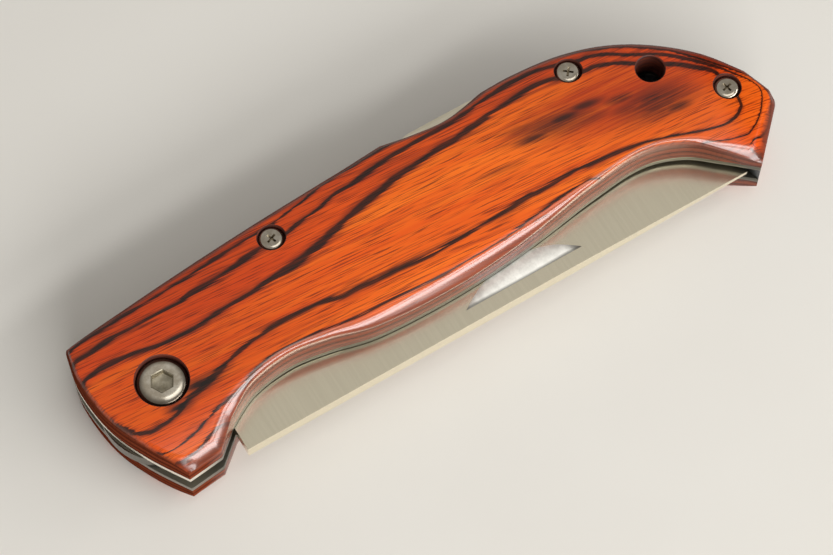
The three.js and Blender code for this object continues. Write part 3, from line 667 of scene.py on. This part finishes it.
# The wall's colours, darker in part as painted shade, reach up over the outer part of the rounding.
wall_share = np.ones(len(placed))
on_back = (sheet[:, 1] > RIDGE_Y) | (sheet[:, 0] > 97)
back_share = (2.0 - 2.0 * inside_share - 0.5 / drop).clip(0, 0.85)
near_share = (1.5 - 1.9 * inside_share - 0.4 / drop).clip(0, 0.8)
wall_share[~lowered] = np.where(on_back, back_share, near_share)
shoulder = np.zeros(len(placed))
shoulder[~lowered] = (1 - side_shares[0]) * side_shares[3] * (0.3 + 0.7 * side_shares[1])
inner_away, middle_away, outer_away = (
    from_seam(seam, surface) for seam in (inner_seam, middle_seam, outer_seam)
)
corners = np.empty(len(upper_scale.data.loops), int)
upper_scale.data.loops.foreach_get("vertex_index", corners)
for name, first, second in (
    ("veneers", wall_share, levels),
    ("seams", inner_away, middle_away),
    ("outer_seam", outer_away, shoulder),
):
    pattern = upper_scale.data.uv_layers.new(name=name)
    pattern.data.foreach_set("uv", np.column_stack([first[corners], second[corners]]).ravel())
face_outwards(upper_scale)
upper_scale.data.materials.append(laminated_wood())

HOLE_ROUND = 56
ROCKER = (25.0, 11.7)
FRONT_PIN = (77.7, 12.5)
REAR_PIN = (96.9, -2.3)
SCREW_SPOTS = {"rocker_pin": ROCKER, "front_spacer_pin": FRONT_PIN, "rear_spacer_pin": REAR_PIN}
LANYARD_SPOT = (88.4, 6.13)
LANYARD_RADIUS = 2.25
# The walls of the drilled holes and recesses are coloured a dark brown, darker than the wood's faces.
drilled_wall_wood, tree, shader = new_material("drilled_wood")
layers = stretched_noise(tree, (300, 300, 3000), detail=3)
colour = blend(tree, spread(tree, layers, 0.35, 0.7), rgb(62, 26, 18), rgb(110, 46, 26))
wire(tree, shader, {"Base Color": colour, "Roughness": 0.6})


def drill(x, y, stem, mouth, flare):
    """Drills the upper scale at x, y with a turned cutter. The stem's rings give radius and height;
    from just under the wood's surface the cutter widens to the mouth, and to the flare above it."""
    under, over, clear = 7.2, 7.7, 9.0
    rings = [*stem, (stem[-1][0], under), (mouth, over), (flare, clear)]
    cutter = turned("drill", x, y, rings, HOLE_ROUND)
    local = points_of(cutter) / MM - np.array(PIVOT)
    for height, lift in ((under, -0.16), (over, 0.03)):
        ring = np.isclose(local[:, 2], height, atol=1e-3)
        local[ring, 2] = wood_surface(local[ring, :2])[0] + SCALE_SEAT + lift
    set_points(cutter, (local + np.array(PIVOT)) * MM)
    cutter.data.materials.append(drilled_wall_wood)
    take_away(upper_scale, cutter)


HALF_KNIFE = SCALE_SEAT + SCALE_THICK
PIVOT_RECESS, PIVOT_RECESS_RADIUS = 2.7, 4.0
PIN_RECESS, PIN_RECESS_RADIUS = 2.1, 2.15
for places, hole, radius, depth, mouth, flare in (
    ([(0, 0)], 1.6, PIVOT_RECESS_RADIUS, PIVOT_RECESS, 4.14, 4.2),
    (SCREW_SPOTS.values(), 0.95, PIN_RECESS_RADIUS, PIN_RECESS, 2.27, 2.3),
):
    recess_floor = HALF_KNIFE - depth
    stem = [(hole, 1.0), (hole, recess_floor), (radius, recess_floor + 0.001)]
    for x, y in places:
        drill(x, y, stem, mouth, flare)
drill(*LANYARD_SPOT, [(LANYARD_RADIUS, 1.0)], 2.42, 2.45)
shade_smooth(upper_scale, 38)

mirror = Matrix.Translation((0, 0, 2 * PIVOT.z * MM)) @ Matrix.Diagonal((1, 1, -1, 1))
lower_scale = copy_of(upper_scale, "wood_scale_lower", mirror)
face_outwards(lower_scale)
for piece, part in ((upper_scale, "upper_scale"), (lower_scale, "lower_scale")):
    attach(piece, "handle")
    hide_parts(part)

# Liners
# Two flat plates of stainless steel, blanked to the handle's outline and linished on the edges.
# The screws clamp them against the spacer and the pins; the blade turns between them.
CHANNEL = 2.9
LINER = 1.0
BARREL_RADIUS = 2.5
PIN_RADIUS = 1.6
PLAY = 0.05


def plate_of(name, outline, low, high, material=None):
    """A plate: a round blank whose rim is drawn out to the outline, then raised to its thickness."""
    deselect()
    bpy.ops.mesh.primitive_circle_add(vertices=len(outline), radius=0.05, fill_type="NGON")
    plate = made(name)
    if material:
        plate.data.materials.append(material)
    set_points(plate, [spot(x, y, low) for x, y in outline])
    edit_all(plate)
    bpy.ops.mesh.extrude_region_move(TRANSFORM_OT_translate={"value": (0, 0, (high - low) * MM)})
    face_outwards(plate)
    return plate


def bore(plate, x, y, radius):
    deselect()
    bpy.ops.mesh.primitive_cylinder_add(vertices=48, radius=radius * MM, depth=0.03, location=spot(x, y))
    take_away(plate, made("bore"))


def ease_edges(piece, width, angle=40, segments=2):
    apply_modifier(
        piece, "BEVEL", width=width * MM, segments=segments, limit_method="ANGLE",
        angle_limit=math.radians(angle),
    )
    shade_smooth(piece, 32)
    apply_modifier(piece, "WEIGHTED_NORMAL", keep_sharp=True)


def steel(name, colour, shade, rough, scale, depth=0.05, spread_rough=0.12):
    """Steel with the fine lines that a belt or a wheel leaves."""
    material, tree, shader = new_material(name)
    lines = stretched_noise(tree, scale, detail=3, rough=0.6)
    cloud = stretched_noise(tree, (90, 90, 90), 0.0, (4, 4, 4), 3, 0.5)
    tone = blend(tree, spread(tree, lines, 0.3, 0.7), shade, colour)
    tone = blend(tree, times(tree, spread(tree, cloud, 0.4, 0.75), 0.35), tone, shade)
    roughness = maths(tree, "ADD", rough, times(tree, lines, spread_rough))
    links = {"Height": lines, "Strength": depth, "Distance": 0.00003}
    bumps = node(tree, "Bump", links).outputs["Normal"]
    links = {"Base Color": tone, "Metallic": 1.0, "Roughness": roughness, "Normal": bumps}
    wire(tree, shader, links)
    return material


liner_steel = steel("linished_steel", rgb(122, 119, 108), rgb(96, 93, 84), 0.3, (60, 60, 3600), 0.005)
tree = liner_steel.node_tree
place_x, _, place_z = split(tree, object_place(tree))
# Painted reflection: the liners' front end is made much lighter, the upper liner fully and the lower one a
# fifth as much.
painted_front_gleam = spread(tree, place_x, -0.049, -0.042, 1.0, 0.0)
painted_front_gleam = times(tree, painted_front_gleam, spread(tree, place_z, 0.0075, 0.0085, 0.2, 1.0))
overlay(tree, painted_front_gleam, rgb(252, 246, 234))
upper_liner = plate_of("liner_upper", handle_outline, CHANNEL / 2, CHANNEL / 2 + LINER, liner_steel)
bore(upper_liner, 0, 0, BARREL_RADIUS + PLAY)
bore(upper_liner, *LANYARD_SPOT, LANYARD_RADIUS)
for x, y in SCREW_SPOTS.values():
    bore(upper_liner, x, y, PIN_RADIUS + PLAY)
ease_edges(upper_liner, 0.05)
below = Matrix.Translation((0, 0, -(CHANNEL + LINER) * MM))
lower_liner = copy_of(upper_liner, "liner_lower", below)
for piece, part in ((upper_liner, "upper_liner"), (lower_liner, "lower_liner")):
    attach(piece, "handle")
    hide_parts(part)

# Blade
# Stainless steel ground from flat stock: straight spine, belly rising to the tip, flat grinds to
# the edge and a nail nick milled in by a tilted wheel. The tang has a notch for the lock and a flat.
SPINE_Y = -13.5
EDGE_Y = 2.5
TIP_X = 93.9
BLADE_THICK = 2.5
GRIND_WIDTH = 9.0
GRIND_X = 14.5
TAPER_X = TIP_X - 32.0
EDGE_HALF, TIP_HALF, CUTTER_HALF = 0.15, 0.35, 2.6
TANG_RADIUS = 10.1
STEP_X = 6.2
LUG_LENGTH = 2.85
NOTCH_FLOOR = 9.0
notch_rear_x = STEP_X - LUG_LENGTH - 0.45
lug_angle = math.atan2(NOTCH_FLOOR, -(STEP_X - LUG_LENGTH / 2))
flat_spread = math.acos((NOTCH_FLOOR - PLAY) / TANG_RADIUS)
tip_to_belly = [(0, -13.3), (4, -7.5), (9.5, -2.7), (17, 0.8), (27, 2.4), (34, 2.5)]
edge_curve = curve_through([(TIP_X - back, y) for back, y in tip_to_belly], 12)
blade_outline = joined(
    [(STEP_X, SPINE_Y), (TIP_X, SPINE_Y)],
    edge_curve,
    [(GRIND_X, EDGE_Y), (GRIND_X - 1, 1.3), (11.3, 1.3)],
    arc_points(0, 0, TANG_RADIUS, math.asin(EDGE_Y / TANG_RADIUS) + 0.15, lug_angle - flat_spread, 24),
    arc_points(
        0, 0, TANG_RADIUS, lug_angle + flat_spread, 2 * math.pi - math.acos(notch_rear_x / TANG_RADIUS), 48
    ),
    arc_points(
        0, 0, NOTCH_FLOOR, -math.acos(notch_rear_x / NOTCH_FLOOR), -math.acos(STEP_X / NOTCH_FLOOR), 6
    ),
)
blade_steel = steel(
    "blade_satin", rgb(252, 243, 218), rgb(247, 238, 213), 0.22, (2600, 60, 600), 0.0, 0.012
)
tree = blade_steel.node_tree
place_x = split(tree, object_place(tree))["X"]
# Painted shade: the tang, inside the handle, is made darker.
overlay(tree, spread(tree, place_x, -0.051, -0.046, 0.9, 0.0), rgb(70, 66, 60))
blade = plate_of("knife_blade", blade_outline, -BLADE_THICK / 2, BLADE_THICK / 2, blade_steel)


def block(name, corners, low, high, lie):
    """A prism: corners in the plane that lie names, drawn out from low to high across it."""
    prism = plate_of(name, corners, low, high)
    places = []
    for point in points_of(prism) / MM - np.array(PIVOT):
        a, b = min(corners, key=lambda corner: math.dist(corner, point[:2]))
        across = high if point[2] > (low + high) / 2 else low
        places.append(spot(a, across, b) if lie == "XZ" else spot(across, a, b))
    set_points(prism, places)
    face_outwards(prism)
    return prism


grind_y = EDGE_Y - GRIND_WIDTH
grind_slope = (BLADE_THICK / 2 - EDGE_HALF) / GRIND_WIDTH
half_at_edge = BLADE_THICK / 2 - grind_slope * (GRIND_WIDTH + 1)
grind = (grind_y, EDGE_Y + 1, half_at_edge, GRIND_X, TIP_X + 2, "YZ")
taper = (TAPER_X, TIP_X + 2, TIP_HALF, SPINE_Y - 2, EDGE_Y + 2, "XZ")
for sign in (1, -1):
    for start, end, half_left, low, high, lie in (grind, taper):
        sloping = [(start, sign * BLADE_THICK / 2), (end, sign * half_left)]
        square = [(end, sign * CUTTER_HALF), (start, sign * CUTTER_HALF)]
        take_away(blade, block("grinder", sloping + square, low, high, lie))
bore(blade, 0, 0, BARREL_RADIUS + PLAY)

NICK_LENGTH = 21.0
NICK_HEIGHT = 3.6
NICK_DEPTH = 0.7
wheel_radius = NICK_LENGTH**2 / (8 * NICK_DEPTH)
wheel_width = NICK_HEIGHT * 1.5
deselect()
bpy.ops.mesh.primitive_cylinder_add(vertices=360, radius=wheel_radius * MM, depth=wheel_width * MM)
wheel = made("nick_wheel")
nick_place = spot(TIP_X - 38.4, SPINE_Y + 2.4, BLADE_THICK / 2 - NICK_DEPTH)
wheel.data.transform(
    Matrix.Translation(nick_place)
    @ Matrix.Rotation(math.atan(NICK_DEPTH / NICK_HEIGHT), 4, "X")
    @ Matrix.Translation((0, wheel_width / 2 * MM, wheel_radius * MM))
    @ Matrix.Rotation(math.radians(90), 4, "X")
)
nick_steel = steel("nick_steel", rgb(246, 244, 236), rgb(226, 224, 216), 0.3, (1200, 1200, 300), 0.03)
tree = nick_steel.node_tree
place_x, place_y, _ = split(tree, object_place(tree))
# Painted shade: a dark line along the nick's lower edge and a dark wedge at its rear tip.
painted_nick_edge_shade = spread(tree, place_y, nick_place.y + 0.0001, nick_place.y + 0.0006, 0.8, 0.0)
painted_nick_tip_shade = spread(tree, place_x, nick_place.x + 0.0070, nick_place.x + 0.0094, 0.0, 0.7)
overlay(tree, maths(tree, "MAXIMUM", painted_nick_edge_shade, painted_nick_tip_shade), rgb(98, 95, 86))
wheel.data.materials.append(nick_steel)
take_away(blade, wheel)
ease_edges(blade, 0.08, 20)
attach(blade, "blade")
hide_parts("blade")

# Lock bar
# A flat steel lever in the channel of the back, which rocks on its pin. Its lug drops in the
# tang's notch, and its rear end stands proud in the thumb scoop, with eased edges for the thumb.
PAD_Y = 18.55
LOCK_PLAY = 0.15
LOCK_BAR_DEPTH = 6.6
BAR_HEEL = 0.6
lug_front_x = -(STEP_X - LOCK_PLAY)
lug_rear_x = lug_front_x + LUG_LENGTH
ride_radius = TANG_RADIUS + LOCK_PLAY
neck_radius = ride_radius + 1.1
neck_from = math.acos(lug_rear_x / neck_radius)
neck_to = neck_from - 0.95
HUMP_X, HUMP_Y = HUMP
SCOOP_END_X = SCOOP_END[0]
bar_rear_x = SCOOP_END_X + 2.2
back_points = joined(back_line, butt_line)


def back_height(x):
    """Height of the handle's back over the pivot, the scoop left out."""
    return float(np.interp(x, back_points[:, 0], back_points[:, 1]))


bar_back = [(x, back_height(x) - 0.15) for x in np.arange(HUMP_X - 6.5, lug_front_x + 1, -1.5)]
lug_from = math.acos(lug_front_x / ride_radius)
lug_to = math.acos(lug_rear_x / ride_radius)
bar_under = curve_through(
    [
        (neck_radius * math.cos(neck_to) + 4.0, back_height(12.0) - LOCK_BAR_DEPTH),
        (ROCKER[0] - 5.0, ROCKER[1] - 3.6),
        (ROCKER[0] + 4.0, ROCKER[1] - 3.8),
        (HUMP_X, back_height(HUMP_X) - 7.2),
        (bar_rear_x - 9.0, back_height(bar_rear_x) - 5.6),
        (bar_rear_x, back_height(bar_rear_x) - 4.2),
    ],
    8,
)
bar_pad = curve_through(
    [
        (SCOOP_END_X + 1.2, HUMP_Y - 0.1), (SCOOP_END_X - 0.4, PAD_Y - 0.15),
        (SCOOP_END_X - 4.0, PAD_Y), (HUMP_X + 6.5, PAD_Y), (HUMP_X + 4.5, PAD_Y - 0.25),
        (HUMP_X + 0.5, PAD_Y - 0.9), (HUMP_X - 3.0, back_height(HUMP_X - 3.0) - 0.1),
    ],
    8,
)
bar_outline = joined(
    arc_points(0, 0, ride_radius, lug_from, lug_to, 6),
    arc_points(0, 0, neck_radius, neck_from, neck_to, 12),
    bar_under,
    [(bar_rear_x + BAR_HEEL, PAD_Y - 3.0), (bar_rear_x + 0.2, HUMP_Y - 0.7)],
    bar_pad,
    bar_back,
    [(lug_front_x, back_height(lug_front_x) - 0.3)],
)
bar_steel = steel("bar_steel", rgb(242, 234, 212), rgb(224, 216, 192), 0.26, (150, 1500, 1500), 0.02)
lock_bar = plate_of("locking_bar", bar_outline, -BLADE_THICK / 2, BLADE_THICK / 2, bar_steel)
bore(lock_bar, *ROCKER, PIN_RADIUS + PLAY)
ease_edges(lock_bar, 0.12, 35, 3)
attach(lock_bar, "lock_bar")
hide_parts("lock_bar")

# Back spacer
# A bar of dark-coated steel that fills the channel round the butt between the liners and holds
# the foot of the leaf spring in a slot. Its outer face is ground flush with the handle.
spacer_x = bar_rear_x + BAR_HEEL + 1.0
SPRING_Y = back_height(bar_rear_x) - LOCK_BAR_DEPTH - 1.9
leg_x = TIP_X + 1.0
inner_low = SPRING_Y - 2.4
spacer_inner = curve_through(
    [
        (spacer_x, inner_low),
        (FRONT_PIN[0] + 1.0, inner_low - 0.2),
        (LANYARD_SPOT[0] - 4.0, LANYARD_SPOT[1] - LANYARD_RADIUS - 1.6),
        (LANYARD_SPOT[0] + 1.0, LANYARD_SPOT[1] - LANYARD_RADIUS - 3.2),
        (leg_x - 0.6, REAR_PIN[1] - 3.0),
        (leg_x, BUTT_CORNER[1] + 1.3),
    ],
    8,
)
spacer_back = [p for p in far_side if p[0] > spacer_x]
spacer_outline = joined(
    spacer_inner, [BUTT_CORNER], butt_end[1:], spacer_back[::-1], [(spacer_x, back_height(spacer_x))]
)
spacer_coat = steel("dark_coat", rgb(116, 120, 124), rgb(84, 88, 92), 0.32, (160, 160, 2600))
back_spacer = plate_of("channel_spacer", spacer_outline, -CHANNEL / 2, CHANNEL / 2, spacer_coat)
for x, y in (FRONT_PIN, REAR_PIN):
    bore(back_spacer, x, y, PIN_RADIUS + PLAY)
bore(back_spacer, *LANYARD_SPOT, LANYARD_RADIUS)
slot_low, slot_high = SPRING_Y - 0.55, SPRING_Y + 0.55
slot_end = spacer_x + 5.65
corners = [(slot_low, -2), (slot_low, 2), (slot_high, 2), (slot_high, -2)]
take_away(back_spacer, block("spring_slot", corners, spacer_x - 1, slot_end, "YZ"))
ease_edges(back_spacer, 0.07)
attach(back_spacer, "handle")
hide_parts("back_spacer")

# Pivot screws
# Turned stainless button heads with a hex socket, one from each side, threaded into the barrel
# that the blade turns on. The heads sit in recesses of the wood, just under its surface.
def button_head(radius, height, shank, floor, lip):
    """Profile of a screw from the shank's end up over its domed head."""
    profile = [(shank - 0.15, 0.55), (shank, 0.75), (shank, floor), (radius - 0.08, floor + 0.001)]
    profile += [(radius, floor + 0.08), (radius, floor + 0.6 * height)]
    for angle in np.radians(np.arange(9, 91, 9)):
        rise = 0.6 * height + 0.4 * height * math.sin(angle)
        profile.append((radius * (0.54 + 0.46 * math.cos(angle)), floor + rise))
    profile.append((radius * 0.5, floor + height + 0.002))
    profile.append((lip, floor + height + 0.003))
    return profile


PIVOT_HEAD_RADIUS, PIVOT_HEAD_HEIGHT = 3.82, 2.2
HEX_ACROSS = 3.05
HEX_TURN = math.radians(30)
to_pivot, from_pivot = Matrix.Translation(spot(0, 0)), Matrix.Translation(-spot(0, 0))
PIVOT_SEAT = 2.45
pivot_floor = HALF_KNIFE - PIVOT_SEAT
pivot_top = pivot_floor + PIVOT_HEAD_HEIGHT
screw_steel = steel(
    "button_steel", rgb(248, 240, 224), rgb(206, 194, 174), 0.1, (700, 700, 700), 0.03, 0.16
)
tree = screw_steel.node_tree
from_axis = mapped(tree, object_place(tree), Location=tuple(-spot(0, 0)))
from_axis = far_off(tree, from_axis, (1.0, 1.0, 0.0))
# Painted reflection: a dark ring on the pivot head's bevel, for the dark recess wall it reflects. On the
# small heads, further off, a weaker layer of the same dark colour covers the whole head.
painted_bevel_shade = spread(tree, from_axis, 0.0024, 0.0034, 0.0, 0.85)
overlay(tree, times(tree, painted_bevel_shade, spread(tree, from_axis, 0.005, 0.01, 1.0, 0.45)), rgb(92, 82, 70))
profile = button_head(PIVOT_HEAD_RADIUS, PIVOT_HEAD_HEIGHT, 1.5, pivot_floor, 1.0)
pivot_head = turned("pivot_head_upper", 0, 0, profile)
hex_corner = HEX_ACROSS / math.sqrt(3)
hex_rings = [(0.25, -1.75), (hex_corner, -1.4), (hex_corner, -0.16), (hex_corner + 0.3, 0.16)]
socket = turned("hex_tool", 0, 0, [(radius, pivot_top + rise) for radius, rise in hex_rings], 6)
socket.data.transform(to_pivot @ Matrix.Rotation(HEX_TURN, 4, "Z") @ from_pivot)
# The cross recesses and the hex socket are cut in a darker steel than the heads: painted shade inside the
# recesses.
cross_steel = steel("cross_steel", rgb(180, 168, 144), rgb(136, 124, 103), 0.36, (500, 500, 500), 0.02)
socket_steel = steel("socket_steel", rgb(196, 188, 168), rgb(138, 130, 112), 0.35, (500, 500, 2500))
socket.data.materials.append(socket_steel)
pivot_head.data.materials.append(screw_steel)
take_away(pivot_head, socket)
shade_smooth(pivot_head, 28)


def seated(head, name):
    """Puts a screw head's twin in the other side of the knife, and both on the handle."""
    twin = copy_of(head, name + "_head_lower", mirror)
    face_outwards(twin)
    for item, part in ((head, name + "_screw_upper"), (twin, name + "_screw_lower")):
        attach(item, "handle")
        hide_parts(part)


seated(pivot_head, "pivot")

# Handle screws
# Three small stainless button heads with a cross recess on each side, which screw into the
# threaded pins. They sit deep in their recesses, and each has come to rest at its own turn.
PIN_HEAD_RADIUS, PIN_HEAD_HEIGHT = 1.9, 1.35
CROSS_WIDTH = 0.34
CROSS_TURNS = {"rocker_pin": 22, "front_spacer_pin": 50, "rear_spacer_pin": 12}
cross_wing = [(-0.95, 0.2), (-0.3, -0.6), (0.3, -0.6), (0.95, 0.2)]
pin_floor = HALF_KNIFE - PIN_RECESS
pin_top = pin_floor + 1.3
profile = button_head(PIN_HEAD_RADIUS, PIN_HEAD_HEIGHT, 0.85, pin_floor, 0.45)
for pin, (x, y) in SCREW_SPOTS.items():
    head = turned(pin + "_head_upper", x, y, profile, 48)
    head.data.materials.append(screw_steel)
    for turn in (0, 90):
        corners = [(a, pin_top + b) for a, b in cross_wing]
        tool = block("cross_tool", corners, -CROSS_WIDTH / 2, CROSS_WIDTH / 2, "XZ")
        facing = Matrix.Rotation(math.radians(turn + CROSS_TURNS[pin]), 4, "Z")
        for move in (from_pivot, facing, Matrix.Translation(spot(x, y))):
            tool.data.transform(move)
        tool.data.materials.append(cross_steel)
        take_away(head, tool)
    shade_smooth(head, 28)
    seated(head, pin)

# Pins, barrel, washers and leaf spring
# The parts inside the knife: turned steel barrels that the screws thread into, two bronze
# washers that the tang turns against, and the spring-steel leaf that presses the lock bar.
barrel_steel = steel("barrel_steel", rgb(190, 188, 182), rgb(150, 148, 142), 0.25, (400, 400, 2500))
bronze = steel("bronze", rgb(186, 130, 72), rgb(140, 92, 50), 0.3, (900, 900, 200))
spring_steel = steel("spring_steel", rgb(150, 152, 158), rgb(104, 106, 114), 0.28, (140, 2600, 2600))
for metal, parts in (
    (barrel_steel, ("pivot_barrel", *SCREW_SPOTS)),
    (bronze, ("upper_washer", "lower_washer")),
    (spring_steel, ("lock_spring",)),
):
    for part in parts:
        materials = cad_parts[part].data.materials
        materials.clear()
        materials.append(metal)

# Table, light and camera
# A plain pale table top and four soft lights: two long ones from the near side, a small one from
# the butt's side and one overhead. The two from the near side light the rounded edge of the wood.
deselect()
bpy.ops.mesh.primitive_plane_add(size=6.0, location=(0, 0, -0.0001))
table = made("table_top")
material, tree, shader = new_material("pale_table")
cloud = stretched_noise(tree, (25, 25, 25), 0.0, detail=3)
colour = blend(tree, cloud, rgb(226, 222, 214), rgb(232, 229, 222))
wire(tree, shader, {"Base Color": colour, "Roughness": 0.85, "Specular IOR Level": 0.2})
table.data.materials.append(material)

world = bpy.data.worlds.new("studio")
bpy.context.scene.world = world
world.use_nodes = True
tree = world.node_tree
lighting = node(tree, "LightPath", {}).outputs["Is Diffuse Ray"]
dimmed = maths(tree, "SUBTRACT", 0.43, times(tree, lighting, 0.15))
wire(tree, tree.nodes["Background"], {"Color": (1.0, 0.97, 0.92, 1.0), "Strength": dimmed})


def soft_light(name, towards, distance, size, strength):
    """A soft light that faces the knife from the given direction, its width along the knife."""
    light = bpy.data.lights.new(name, "AREA")
    light.shape = "RECTANGLE"
    light.size, light.size_y = size
    light.energy = strength
    lamp = bpy.data.objects.new(name, light)
    out = Vector(towards).normalized()
    across = Vector((0, 0, 1)).cross(out) if abs(out.z) < 0.9 else Vector((1, 0, 0))
    across = (across - across.dot(out) * out).normalized()
    facing = Matrix((across, out.cross(across), out)).transposed().to_4x4()
    lamp.matrix_world = Matrix.Translation(out * distance) @ facing
    bpy.context.scene.collection.objects.link(lamp)


soft_light("near_window", (0.15, -0.88, 0.45), 0.9, (1.3, 0.25), 6.6)
soft_light("broad_window", (0.15, -0.7, 0.68), 0.9, (1.3, 0.12), 3.4)
soft_light("right_window", (0.78, -0.29, 0.56), 0.9, (0.3, 0.2), 0.8)
soft_light("overhead", (0.21, -0.12, 0.97), 0.8, (0.5, 0.3), 0.75)

camera = bpy.data.cameras.new("camera")
camera.lens = 118.6
camera.clip_start = 0.01
viewer = bpy.data.objects.new("camera", camera)
viewer.location = (-0.0915, -0.1470, 0.3838)
viewer.rotation_euler = (math.radians(24.0), 0.0, math.radians(-31.245))
bpy.context.scene.collection.objects.link(viewer)
bpy.context.scene.camera = viewer
bpy.context.scene.view_settings.view_transform = "Standard"
